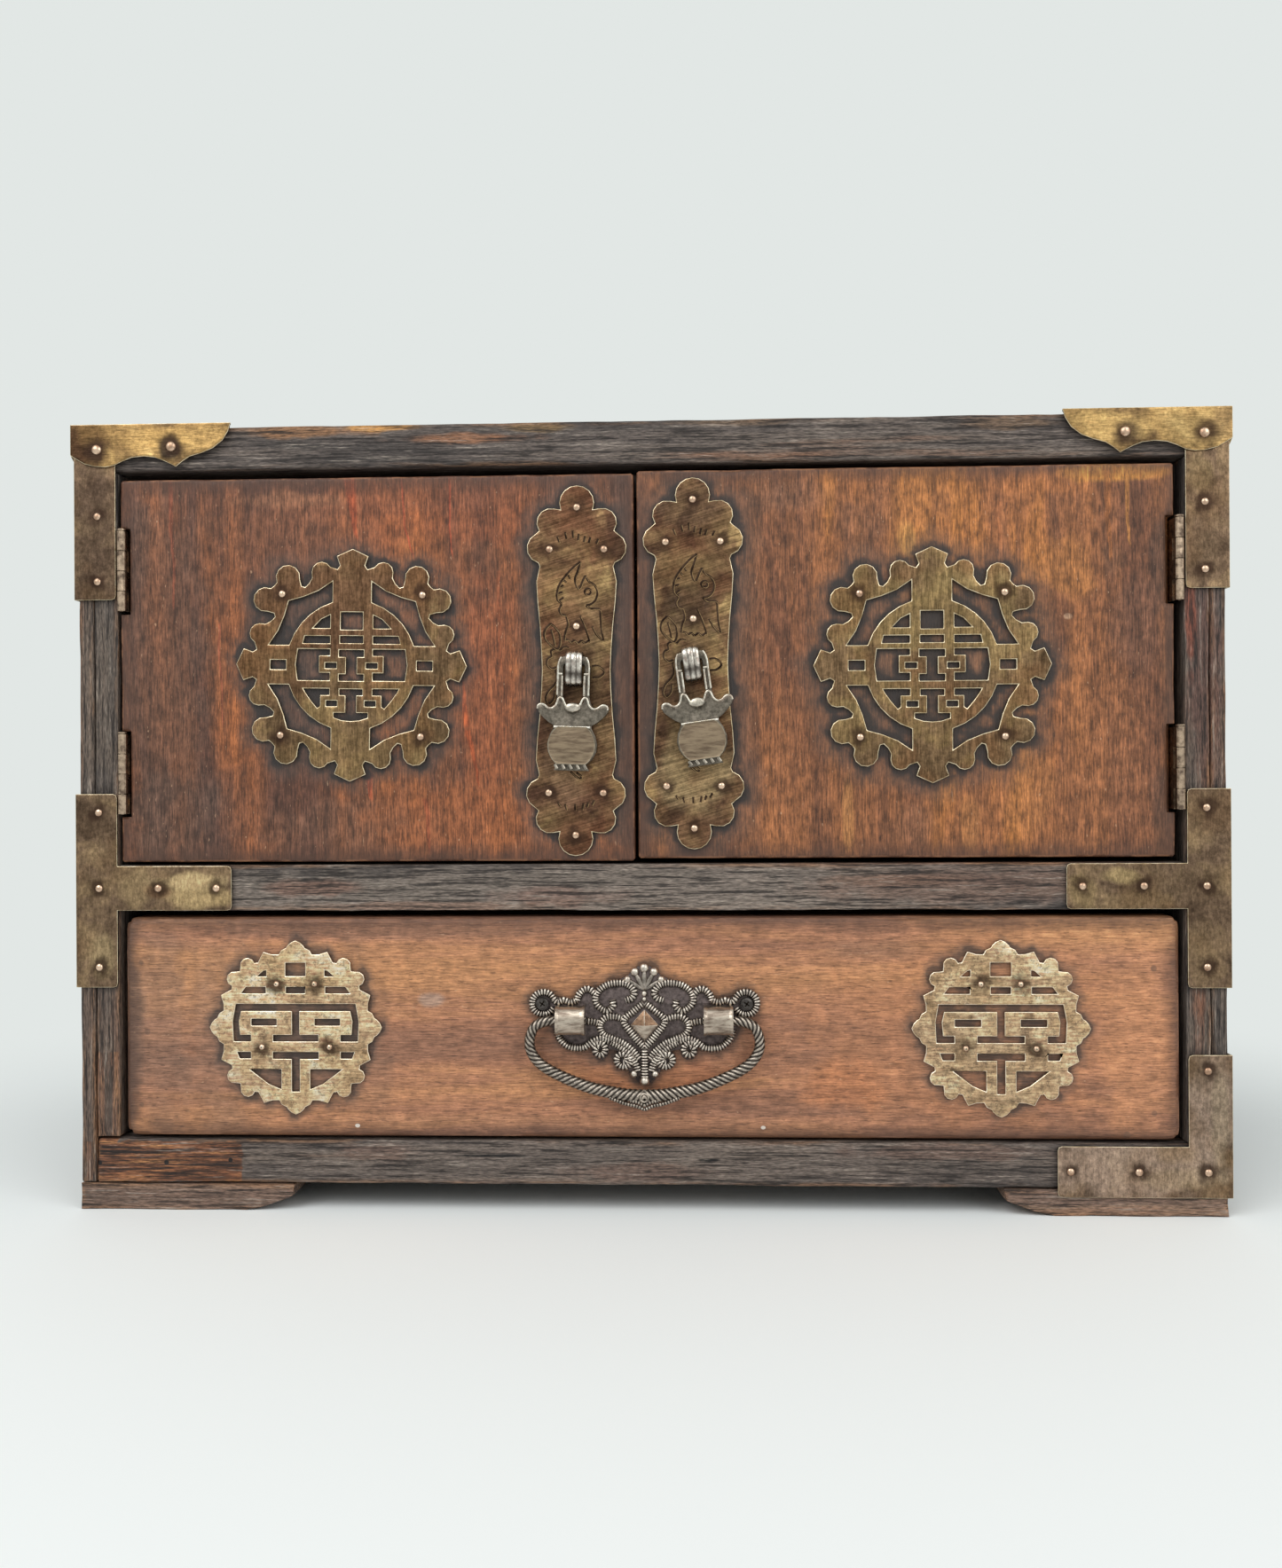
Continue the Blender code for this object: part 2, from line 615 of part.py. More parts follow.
def add_nails(sheet, places, radius, outward):
    """Nail heads on a sheet, at places on its outer face."""
    outward = Vector(outward)
    for place in places:
        shape = bmesh.new()
        bmesh.ops.create_cone(
            shape, cap_ends=True, segments=NAIL_SIDES, radius1=radius, radius2=radius * NAIL_TOP_SHARE,
            depth=NAIL_HEIGHT + BRASS / 2, matrix=outward.to_track_quat("Z", "Y").to_matrix().to_4x4(),
        )
        middle = Vector(place) + outward * (NAIL_HEIGHT - BRASS / 2) / 2
        nail = add_object("nail", mesh_from_bmesh("nail", shape), "aged_brass", middle)
        combine(sheet, nail, "UNION", "MANIFOLD")


def nail_corner_sheet(sheet, sign, front_places, side_heights):
    """Nails through the front of a wrapped sheet, and through its flange at the heights given."""
    add_nails(sheet, [(sign * x, BRASS_FRONT, z) for x, z in front_places], STRAP_NAIL_RADIUS, (0, -1, 0))
    side = [(sign * BRASS_SIDE, BRASS_FRONT + NAIL_INSET, z) for z in side_heights]
    add_nails(sheet, side, STRAP_NAIL_RADIUS, (sign, 0, 0))


def make_straps():
    """The two straps below the top corners, the two tees at the shelf and the elbow at the bottom right.

    The chest has lost its elbow at the bottom left, so there is only one.
    """
    inner = OPENING_X + SEAT_GAP
    outer = BRASS_SIDE
    strap_top = CHEST_HEIGHT - CAP_DROP + CAP_DROP / 2
    strap_low = CHEST_HEIGHT - STRAP_BELOW_TOP
    arm_middle = (SHELF_Z + SHELF_TOP_Z) / 2
    tee_low, tee_high = arm_middle - TEE_BELOW_SHELF, arm_middle + TEE_ABOVE_SHELF
    arm_low, arm_high = arm_middle - TEE_ARM_HEIGHT / 2, arm_middle + TEE_ARM_HEIGHT / 2
    strap = [(outer, strap_top), (inner, strap_top), (inner, strap_low), (outer, strap_low)]
    strap = rounded_corners(strap, BRASS_CORNER, (2,))
    arm_end = outer - TEE_ARM_LENGTH
    tee = [
        (outer, tee_high), (inner, tee_high), (inner, arm_high), (arm_end, arm_high), (arm_end, arm_low),
        (inner, arm_low), (inner, tee_low), (outer, tee_low),
    ]
    tee = rounded_corners(tee, BRASS_CORNER, (1, 3, 4, 6))
    nail_x = outer - NAIL_INSET
    strap_nails = [(nail_x, strap_low + up) for up in STRAP_NAILS_UP]
    tee_nails = [(nail_x, tee_low + up) for up in TEE_NAILS_UP]
    arm_nails = [(outer - along, arm_middle) for along in TEE_ARM_NAILS]
    for side, sign in (("left", -1), ("right", 1)):
        outline = [(sign * x, z) for x, z in strap]
        sheet = add_wrapped_plate(f"strap_{side}", outline, sign, strap_low, strap_top)
        nail_corner_sheet(sheet, sign, strap_nails, [z for _, z in strap_nails])
        outline = [(sign * x, z) for x, z in tee]
        sheet = add_wrapped_plate(f"tee_bracket_{side}", outline, sign, tee_low, tee_high)
        nail_corner_sheet(sheet, sign, tee_nails + arm_nails, [z for _, z in tee_nails])
    arm_end = outer - ELBOW_ARM_LENGTH
    arm_high = FLOOR_Z - ELBOW_ARM_BELOW_EDGE
    low, high = FOOT_HEIGHT - ELBOW_OVER_FOOT, FLOOR_Z + ELBOW_ABOVE_FLOOR
    elbow = [
        (outer, high), (inner, high), (inner, arm_high), (arm_end, arm_high), (arm_end, low), (outer, low),
    ]
    elbow = rounded_corners(elbow, BRASS_CORNER, (1, 3, 4))
    sheet = add_wrapped_plate("elbow_bracket_right", elbow, 1, low, high)
    arm_nails = [(outer - along, (low + arm_high) / 2) for along in ELBOW_ARM_NAILS]
    upper = (nail_x, low + ELBOW_NAIL_UP)
    nail_corner_sheet(sheet, 1, [upper] + arm_nails, [z for _, z in (upper, arm_nails[0])])


def make_corner_caps():
    """The two scalloped caps over the top front corners, each folded over the front, the side and the top.

    They lie over the ends of the straps, so they stand one sheet further out on the front and the side.
    """
    lift = BRASS + CAP_STRAP_OVERLAP_GAP
    front_face = BRASS_FRONT - lift
    side_face = BRASS_SIDE + lift
    top_face = CHEST_HEIGHT + SEAT_GAP + BRASS
    scallop = scaled(CAP_EDGE_SHARES, CAP_LENGTH, CAP_DROP)
    top_octant = scaled(CAP_TOP_SHARES, CAP_LENGTH)
    top_edge = top_octant + [(y, x) for x, y in reversed(top_octant[:-1])]
    for side, sign in (("left", -1), ("right", 1)):
        front = [(sign * (side_face - x), top_face - z) for x, z in scallop] + [(sign * side_face, top_face)]
        cap = add_plate(
            f"corner_cap_{side}", [front], BRASS, "aged_brass", (0, front_face + BRASS / 2, 0),
        )
        flank = [(front_face + x, top_face - z) for x, z in scallop] + [(front_face, top_face)]
        tool = add_plate(
            "flank", [flank], BRASS, "aged_brass", (sign * (side_face - BRASS / 2), 0, 0), facing="side",
        )
        combine(cap, tool, "UNION")
        cover = [(sign * (side_face - x), front_face + y) for x, y in top_edge]
        cover.append((sign * side_face, front_face))
        tool = add_plate("cover", [cover], BRASS, "aged_brass", (0, 0, top_face - BRASS / 2), facing="up")
        combine(cap, tool, "UNION")
        front = [(sign * (side_face - along), front_face, top_face - down) for along, down in CAP_NAILS]
        add_nails(cap, front, CAP_NAIL_RADIUS, (0, -1, 0))
        flank = [(sign * side_face, front_face + along, top_face - down) for along, down in CAP_NAILS]
        add_nails(cap, flank, CAP_NAIL_RADIUS, (sign, 0, 0))
        corner = (sign * (side_face - CAP_TOP_NAIL), front_face + CAP_TOP_NAIL, top_face)
        add_nails(cap, [corner], CAP_NAIL_RADIUS, (0, 0, 1))


def door_span(side):
    """The left, right, bottom and top of a door's face."""
    low = SHELF_TOP_Z + (LEFT_DOOR_LIFT if side == "left" else RIGHT_DOOR_LIFT)
    if side == "left":
        return -OPENING_X + LEFT_DOOR_GAP, MEETING_X - MEETING_GAP / 2, low, low + DOOR_HEIGHT
    return MEETING_X + MEETING_GAP / 2, OPENING_X - RIGHT_DOOR_GAP, low, low + DOOR_HEIGHT


def hinge_heights():
    """The middle of each hinge of a door."""
    height = CEILING_Z - SHELF_TOP_Z
    return [(place, SHELF_TOP_Z + share * height) for place, share in HINGE_PLACE_SHARES]


def make_door(side, sign, pivot):
    """One door board, with a mortise through its edge at each hinge and a deeper notch for the knuckles."""
    left, right, low, high = door_span(side)
    door = add_box(
        f"door_{side}", (left, FRONT, low), (right, FRONT + DOOR_THICKNESS, high), "red_wood", DOOR_EDGE,
    )
    axis_x = sign * (OPENING_X - HINGE_AXIS_IN)
    floor_x = axis_x - sign * HINGE_AXIS_IN
    notch_x = floor_x - sign * (LEFT_KNUCKLE_NOTCH if side == "left" else RIGHT_KNUCKLE_NOTCH)
    edge_x = axis_x + sign * (HINGE_AXIS_IN + CUT_OVERRUN)
    behind = FRONT + DOOR_THICKNESS + CUT_OVERRUN
    outline = [
        (edge_x, FRONT - CUT_OVERRUN), (notch_x, FRONT - CUT_OVERRUN), (notch_x, FRONT + KNUCKLE_NOTCH_DEPTH),
        (floor_x, FRONT + KNUCKLE_NOTCH_DEPTH), (floor_x, behind), (edge_x, behind),
    ]
    for _, middle in hinge_heights():
        cutter = add_plate(
            "mortise", [outline], HINGE_HEIGHT + 2 * (PIN_HEAD + SEAT_GAP), "red_wood", (0, 0, middle),
            facing="up",
        )
        combine(door, cutter, "DIFFERENCE")
    hang(door, pivot)


def add_leaf(name, axis_x, middle, sign, kept):
    """One hinge leaf, rolled into a barrel along its edge, with every second knuckle cut away.

    The sign says on which side of the axis the leaf lies, and kept is the lowest knuckle it keeps.
    """
    inner = HINGE_BARREL_RADIUS - HINGE_LEAF
    start = math.degrees(math.acos(inner / HINGE_BARREL_RADIUS))
    section = arc((0, 0, HINGE_BARREL_RADIUS), start, 360, BARREL_STEPS)
    section += [(HINGE_BARREL_RADIUS, HINGE_LEAF_WIDTH), (inner, HINGE_LEAF_WIDTH)]
    bore = arc((0, 0, HINGE_BORE_RADIUS), 0, 360, BARREL_STEPS)[:-1]
    outlines = [[(sign * x, y) for x, y in outline] for outline in (section, bore)]
    leaf = add_plate(
        name, outlines, HINGE_HEIGHT - HINGE_KNUCKLE_GAP, "aged_brass", (axis_x, HINGE_AXIS_Y, middle),
        facing="up",
    )
    pitch = HINGE_HEIGHT / HINGE_KNUCKLES
    reach = 2 * HINGE_BARREL_RADIUS
    clear_y = HINGE_AXIS_Y + HINGE_BARREL_RADIUS + HINGE_RUNNING_GAP
    for number in range(1 - kept, HINGE_KNUCKLES, 2):
        low = middle - HINGE_HEIGHT / 2 + number * pitch - HINGE_KNUCKLE_GAP / 2
        high = low + pitch + HINGE_KNUCKLE_GAP
        if number == 0:
            low -= CUT_OVERRUN
        if number == HINGE_KNUCKLES - 1:
            high += CUT_OVERRUN
        cutter = add_box(
            "knuckle_cut", (axis_x - reach, HINGE_AXIS_Y - reach, low), (axis_x + reach, clear_y, high),
            "aged_brass",
        )
        combine(leaf, cutter, "DIFFERENCE")
    return leaf


def make_hinges(side, sign, pivot):
    """Two butt hinges: a leaf on the stile, a leaf on the door and a headed pin each."""
    axis_x = sign * (OPENING_X - HINGE_AXIS_IN)
    for place, middle in hinge_heights():
        add_leaf(f"hinge_{side}_{place}_frame_leaf", axis_x, middle, sign, 0)
        door_leaf = add_leaf(f"hinge_{side}_{place}_door_leaf", axis_x, middle, -sign, 1)
        hang(door_leaf, pivot)
        half = HINGE_HEIGHT / 2
        pin = add_rod(
            f"hinge_{side}_{place}_pin", (axis_x, HINGE_AXIS_Y, middle - half),
            (axis_x, HINGE_AXIS_Y, middle + half + PIN_HEAD), HINGE_PIN_RADIUS, "aged_brass",
        )
        head = add_rod(
            "head", (axis_x, HINGE_AXIS_Y, middle + half + HINGE_KNUCKLE_GAP / 2),
            (axis_x, HINGE_AXIS_Y, middle + half + PIN_HEAD), HINGE_BARREL_RADIUS, "aged_brass",
        )
        combine(pin, head, "UNION")


def door_medallion_outlines():
    """The scalloped edge of a door's medallion and the holes of its fretwork."""
    octant = (
        list(DOOR_OCTANT_SHARES) + arc(DOOR_SMALL_LOBE_SHARE, 150, 0) + list(DOOR_DIP_SHARES)
        + arc(DOOR_ROUND_LOBE_SHARE, 190, -25, LOBE_STEPS + 2) + [DOOR_NOTCH_SHARE]
    )
    outlines = [ring_of_octants(octant)]
    end = math.degrees(math.asin(SPANDREL_SHARES[0][1] / RING_SHARE))
    spandrel = list(SPANDREL_SHARES) + arc((0, 0, RING_SHARE), 90 - end, end)
    for turn in range(4):
        outlines.append(spandrel)
        spandrel = [(y, -x) for x, y in spandrel]
    outlines += [mirrored(hole) for hole in DOOR_CENTRE_HOLE_SHARES]
    for hole in DOOR_SIDE_HOLE_SHARES:
        outlines += [list(hole), [(-x, y) for x, y in hole]]
    return [scaled(outline, DOOR_MEDALLION_RADIUS) for outline in outlines]


def drawer_medallion_outlines():
    """The scalloped edge of a drawer medallion and the holes of its fretwork."""
    octant = list(DRAWER_OCTANT_SHARES) + arc(DRAWER_LOBE_SHARE, 165, -15) + [DRAWER_NOTCH_SHARE]
    outlines = [ring_of_octants(octant)]
    outlines += [mirrored(hole) for hole in DRAWER_CENTRE_HOLE_SHARES]
    for hole in DRAWER_SIDE_HOLE_SHARES:
        outlines += [list(hole), [(-x, y) for x, y in hole]]
    return [scaled(outline, DRAWER_MEDALLION_RADIUS) for outline in outlines]


def make_door_medallion(side, sign, pivot):
    """The fretwork medallion of one door."""
    near, far, low, high = door_span(side)
    is_left = side == "left"
    out = LEFT_MEDALLION_OUT if is_left else RIGHT_MEDALLION_OUT
    up = LEFT_MEDALLION_UP if is_left else RIGHT_MEDALLION_UP
    place = ((near + far) / 2 + sign * out, DOOR_FACE - DOOR_MEDALLION_THICKNESS / 2, (low + high) / 2 + up)
    turn = LEFT_MEDALLION_TURN if is_left else 0.0
    medallion = add_plate(
        f"medallion_door_{side}", door_medallion_outlines(), DOOR_MEDALLION_THICKNESS, "aged_brass", place,
        turn=turn,
    )
    reach = DOOR_MEDALLION_NAIL_SHARE * DOOR_MEDALLION_RADIUS
    nails = [(x, z) for x in (-reach, reach) for z in (-reach, reach)]
    face = (place[0], DOOR_FACE - DOOR_MEDALLION_THICKNESS, place[2])
    add_nails(medallion, turned(nails, turn, face), FRET_NAIL_RADIUS, (0, -1, 0))
    hang(medallion, pivot)


def plate_outline():
    """The lobed outline of a pull plate."""
    quarter = (
        arc(PLATE_END_LOBE_SHARE, 90, -22) + arc(PLATE_SHOULDER_LOBE_SHARE, 105, -35)
        + arc(PLATE_SIDE_LOBE_SHARE, 65, -75) + list(PLATE_WAIST_SHARES)
    )
    half = quarter + [(x, -y) for x, y in reversed(quarter[:-1])]
    half[0] = (0, half[0][1])
    half[-1] = (0, half[-1][1])
    return scaled(mirrored(half), PULL_PLATE_LENGTH / 2)


def hook_outlines():
    """The side view of a pull's hook and the eye for the pull's bar, as Y and Z about the pull's pivot."""
    outer = HOOK_INNER_RADIUS + HOOK_METAL
    seat = PULL_PIVOT_STANDOFF - SEAT_GAP
    shown = [(seat, outer)] + arc((0, 0, outer), 90, 180) + arc((0, -HOOK_DROP, outer), 180, 270) + [
        (seat, -HOOK_DROP - outer)
    ]
    eye = arc((0, 0, HOOK_INNER_RADIUS), 0, 180) + arc((0, -HOOK_EYE_SLACK, HOOK_INNER_RADIUS), 180, 360)
    return [shown, eye]


def pull_outlines():
    """The outline of a drop pull and its slot, about the pivot at the middle of its bar."""
    across, up, radius = (share * PULL_LENGTH for share in PULL_ARCH_LOBE_SHARE)
    start = math.degrees(math.asin((PULL_BAR / 2 - up) / radius))
    arch = [(0, PULL_BAR / 2)] + arc((across, up, radius), start, 0)
    half = arch + scaled(PULL_NECK_SHARES + PULL_BODY_SHARES, PULL_LENGTH)
    slot_x = PULL_SLOT_WIDTH / 2
    slot_top = -PULL_BAR / 2
    slot_bottom = -PULL_SLOT_BOTTOM_SHARE * PULL_LENGTH
    slot = [(-slot_x, slot_top), (slot_x, slot_top), (slot_x, slot_bottom), (-slot_x, slot_bottom)]
    slot = rounded_corners(slot, PULL_SLOT_CORNER, range(len(slot)))
    return [mirrored(half), slot]


def make_pull(side, pivot):
    """One door's pull plate, the hook on it and the drop pull that swings in the hook."""
    near, far, low, high = door_span(side)
    left = side == "left"
    plate_x = far - LEFT_PLATE_INSET if left else near + RIGHT_PLATE_INSET
    plate_z = (low + high) / 2 + (LEFT_PLATE_UP if left else RIGHT_PLATE_UP)
    plate_turn = LEFT_PLATE_TURN if left else 0.0
    plate = add_plate(
        f"pull_plate_{side}", [plate_outline()], PULL_PLATE_THICKNESS, "aged_brass",
        (plate_x, DOOR_FACE - PULL_PLATE_THICKNESS / 2, plate_z), turn=plate_turn,
    )
    nails = scaled(both_sides(PLATE_NAIL_SHARES), PULL_PLATE_LENGTH / 2)
    face = (plate_x, DOOR_FACE - PULL_PLATE_THICKNESS, plate_z)
    add_nails(plate, turned(nails, plate_turn, face), FRET_NAIL_RADIUS, (0, -1, 0))
    hang(plate, pivot)
    turn = LEFT_PULL_TURN if left else RIGHT_PULL_TURN
    pivot_x = plate_x + (LEFT_PIVOT_ASIDE if left else RIGHT_PIVOT_ASIDE)
    pivot_y = DOOR_FACE - PULL_PLATE_THICKNESS - PULL_PIVOT_STANDOFF
    pivot_z = plate_z + (LEFT_PIVOT_UP if left else RIGHT_PIVOT_UP)
    place = (pivot_x, pivot_y, pivot_z)
    hook = add_plate(
        f"pull_hook_{side}", hook_outlines(), HOOK_WIDTH, "grey_metal", place, facing="side", turn=turn,
    )
    hang(hook, pivot)
    swing = add_empty(f"pull_{side}_axis", place, pivot)
    pull = add_plate(
        f"drop_pull_{side}", pull_outlines(), PULL_THICKNESS, "grey_metal", place, turn=turn,
    )
    shape = bmesh.new()
    bmesh.ops.create_uvsphere(
        shape, u_segments=ROUND_SIDES, v_segments=LOBE_STEPS + 1, radius=1,
        matrix=Matrix.Diagonal((PULL_POT_RADIUS, PULL_POT_BULGE, PULL_POT_HEIGHT / 2, 1)),
    )
    middle = turned([(0, -PULL_POT_SHARE * PULL_LENGTH)], turn, place)[0]
    pot = add_object("pot", mesh_from_bmesh("pot", shape), "grey_metal", middle)
    pot.location.y -= PULL_THICKNESS / 2
    combine(pull, pot, "UNION")
    hang(pull, swing)


def make_catch(pivots):
    """The magnetic catch under the top board, and its strike plate on the back of each door."""
    face = FRONT + DOOR_THICKNESS + 2 * SEAT_GAP + STRIKE_THICKNESS
    top = CEILING_Z - SEAT_GAP
    add_box(
        "magnet_catch", (MEETING_X - CATCH_WIDTH / 2, face, top - CATCH_HEIGHT),
        (MEETING_X + CATCH_WIDTH / 2, face + CATCH_DEPTH, top), "dark_wood", BOARD_EDGE,
    )
    back = FRONT + DOOR_THICKNESS + SEAT_GAP
    strike_top = top - (CATCH_HEIGHT - STRIKE_HEIGHT) / 2
    inset = (CATCH_WIDTH / 2 - STRIKE_WIDTH) / 2
    for side, sign in (("left", -1), ("right", 1)):
        door_top = door_span(side)[3] - DOOR_EDGE
        high = min(strike_top, door_top)
        span = sorted((MEETING_X + sign * inset, MEETING_X + sign * (inset + STRIKE_WIDTH)))
        strike = add_box(
            f"strike_{side}", (span[0], back, high - STRIKE_HEIGHT), (span[1], back + STRIKE_THICKNESS, high),
            "grey_metal",
        )
        hang(strike, pivots[side])


def make_drawer_medallion(side, sign):
    """One of the two fretwork medallions nailed to the drawer front."""
    middle_x = sign * (DRAWER_HALF_WIDTH - DRAWER_MEDALLION_INSET)
    face_y = DOOR_FACE - DRAWER_MEDALLION_THICKNESS
    medallion = add_plate(
        f"medallion_drawer_{side}", drawer_medallion_outlines(), DRAWER_MEDALLION_THICKNESS, "pale_brass",
        (middle_x, face_y + DRAWER_MEDALLION_THICKNESS / 2, DRAWER_MIDDLE_Z),
    )
    nails = scaled(both_sides(DRAWER_MEDALLION_NAIL_SHARES), DRAWER_MEDALLION_RADIUS)
    places = turned(nails, 0.0, (middle_x, face_y, DRAWER_MIDDLE_Z))
    add_nails(medallion, places, SMALL_NAIL_RADIUS, (0, -1, 0))
    return medallion


def make_drawer(slide):
    """The drawer's five boards. Its front is nailed over the ends of the sides."""
    half, low, high = DRAWER_HALF_WIDTH, DRAWER_LOW_Z, DRAWER_HIGH_Z
    front_back = FRONT + DRAWER_FRONT_THICKNESS
    back = BOARD_BACK + GLUE_GAP - DRAWER_BACK_GAP
    outer = half - DRAWER_SIDE_INSET
    rise = low + DRAWER_BOTTOM + GLUE_GAP
    pieces = [
        add_box("drawer_front", (-half, FRONT, low), (half, front_back, high), "red_wood", DRAWER_FRONT_EDGE),
        add_box(
            "drawer_bottom", (-outer, front_back + GLUE_GAP, low), (outer, back, low + DRAWER_BOTTOM),
            "raw_wood",
        ),
        add_box(
            "drawer_back", (-outer + DRAWER_SIDE + GLUE_GAP, back - DRAWER_BACK, rise),
            (outer - DRAWER_SIDE - GLUE_GAP, back, rise + DRAWER_SIDE_HEIGHT), "raw_wood", BOARD_EDGE,
        ),
    ]
    for side, sign in (("left", -1), ("right", 1)):
        span = sorted((sign * outer, sign * (outer - DRAWER_SIDE)))
        pieces.append(add_box(
            f"drawer_side_{side}", (span[0], front_back + GLUE_GAP, rise),
            (span[1], back, rise + DRAWER_SIDE_HEIGHT), "raw_wood", BOARD_EDGE,
        ))
        inner = outer + GUIDE_RUNNING_GAP
        span = sorted((sign * INSIDE_X, sign * inner))
        add_box(
            f"drawer_guide_{side}", (span[0], FRONT + STILE_DEPTH + GLUE_GAP, FLOOR_Z + GLUE_GAP),
            (span[1], BOARD_BACK, FLOOR_Z + GLUE_GAP + GUIDE_HEIGHT), "raw_wood",
        )
        pieces.append(make_drawer_medallion(side, sign))
    for piece in pieces:
        hang(piece, slide)
    return pieces[0]


def backplate_outline():
    """The scrolled outline of the drawer pull's backplate, about the bail's axis."""
    half = (
        list(CREST_SHARES) + arc((*EYE_CENTRE_SHARE, EYE_RADIUS_SHARE), 150, -70, LOBE_STEPS + 2)
        + list(SKIRT_SHARES) + arc(SMALL_SCROLL_SHARE, 20, -190) + list(SCROLL_NECK_SHARES)
        + arc(BIG_SCROLL_SHARE, 60, -120) + list(TIP_SHARES)
    )
    return scaled(mirrored(half), BACKPLATE_WIDTH / 2)


def add_saddle(sign, axis_y, plate_front):
    """One saddle strap of the backplate, arched over the bail's end."""
    rise = SADDLE_HEIGHT / 2
    reach = SADDLE_BORE_RADIUS + SADDLE_WALL
    arch = [(axis_y - reach * math.sin(angle), BAIL_AXIS_Z + rise * math.cos(angle)) for angle in (
        math.pi * step / (2 * LOBE_STEPS) for step in range(2 * LOBE_STEPS + 1)
    )]
    seat = plate_front + BACKPLATE_THICKNESS / 2
    outline = [(seat, BAIL_AXIS_Z + rise)] + arch + [(seat, BAIL_AXIS_Z - rise)]
    return add_plate(
        "saddle", [outline], SADDLE_WIDTH, "grey_metal", (sign * SADDLE_SPACING / 2, 0, 0), facing="side",
    )


def make_drawer_pull(slide, drawer_front):
    """The backplate with its saddles and diamond boss, two screws and the swinging bail."""
    axis_y = FRONT - BAIL_AXIS_STANDOFF
    seat_y = FRONT - SEAT_GAP
    plate_front = seat_y - BACKPLATE_THICKNESS
    plate = add_plate(
        "pull_backplate", [backplate_outline()], BACKPLATE_THICKNESS, "grey_metal",
        (0, plate_front + BACKPLATE_THICKNESS / 2, BAIL_AXIS_Z),
    )
    shape = bmesh.new()
    bmesh.ops.create_cone(
        shape, cap_ends=True, segments=4, radius1=DIAMOND_WIDTH / 2, radius2=DIAMOND_TIP_RADIUS,
        depth=DIAMOND_HEIGHT + BACKPLATE_THICKNESS / 2, matrix=Matrix.Rotation(math.pi / 2, 4, "X"),
    )
    boss_middle = plate_front - DIAMOND_HEIGHT + (DIAMOND_HEIGHT + BACKPLATE_THICKNESS / 2) / 2
    boss = add_object(
        "boss", mesh_from_bmesh("boss", shape), "grey_metal",
        (0, boss_middle, BAIL_AXIS_Z - DIAMOND_BELOW_AXIS),
    )
    combine(plate, boss, "UNION")
    for sign in (-1, 1):
        combine(plate, add_saddle(sign, axis_y, plate_front), "UNION")
    reach = BACKPLATE_WIDTH / 2
    bore = add_rod(
        "bore", (-reach, axis_y, BAIL_AXIS_Z), (reach, axis_y, BAIL_AXIS_Z), SADDLE_BORE_RADIUS, "grey_metal",
    )
    combine(plate, bore, "DIFFERENCE")
    hole = SCREW_SHANK_RADIUS + SCREW_HOLE_GAP
    for side, sign in (("left", -1), ("right", 1)):
        x = sign * EYE_CENTRE_SHARE[0] * BACKPLATE_WIDTH / 2
        z = BAIL_AXIS_Z + EYE_CENTRE_SHARE[1] * BACKPLATE_WIDTH / 2
        tip = seat_y + SCREW_LENGTH
        for body in (plate, drawer_front):
            cutter = add_rod(
                "hole", (x, plate_front - CUT_OVERRUN, z), (x, tip + SEAT_GAP, z), hole, "grey_metal",
            )
            combine(body, cutter, "DIFFERENCE")
        under_head = plate_front - SEAT_GAP
        screw = add_rod(
            f"pull_screw_{side}", (x, under_head, z), (x, tip, z), SCREW_SHANK_RADIUS, "grey_metal",
        )
        head = add_rod(
            "head", (x, under_head - SCREW_HEAD_HEIGHT, z), (x, under_head, z), SCREW_HEAD_RADIUS,
            "grey_metal",
        )
        combine(screw, head, "UNION")
        hang(screw, slide)
    hang(plate, slide)
    make_bail(slide, axis_y)


def make_bail(slide, axis_y):
    """The bail: a round bar that swells towards its middle, with its straight ends in the saddles."""
    end = (SADDLE_SPACING - SADDLE_WIDTH) / 2
    half = [(end, 0)] + scaled(BAIL_SHARES, BACKPLATE_WIDTH / 2, BAIL_DROP)
    points = half + [(-x, z) for x, z in reversed(half[:-1])]
    curve = bpy.data.curves.new("bail_handle", "CURVE")
    curve.dimensions = "3D"
    curve.bevel_depth = BAIL_RADIUS
    curve.bevel_resolution = BAIL_SIDES // 2 - 2
    curve.use_fill_caps = True
    spline = curve.splines.new("POLY")
    spline.points.add(len(points) - 1)
    for point, (x, z) in zip(spline.points, points):
        point.co = (x, 0, z, 1)
        point.radius = 1 + BAIL_SWELL_SHARE * (z / BAIL_DROP) ** 4
    drawn = bpy.data.objects.new("drawn_bail", curve)
    CHEST.objects.link(drawn)
    mesh = baked_mesh(drawn)
    bpy.data.objects.remove(drawn)
    place = (0, axis_y, BAIL_AXIS_Z)
    bail = add_object("bail_handle", mesh, "grey_metal", place)
    hang(bail, add_empty("bail_axis", place, slide))


def finish_pieces():
    """Puts each piece's origin at its middle, and shades it smooth with its corners kept sharp."""
    for obj in CHEST.objects:
        if obj.type != "MESH":
            continue
        if obj.location.length < SMALLEST_EDGE:
            corners = [Vector(corner) for corner in obj.bound_box]
            middle = (corners[0] + corners[6]) / 2
            obj.data.transform(Matrix.Translation(-middle))
            obj.location = middle
        obj.data.shade_smooth()
        obj.data.set_sharp_from_angle(angle=math.radians(35))


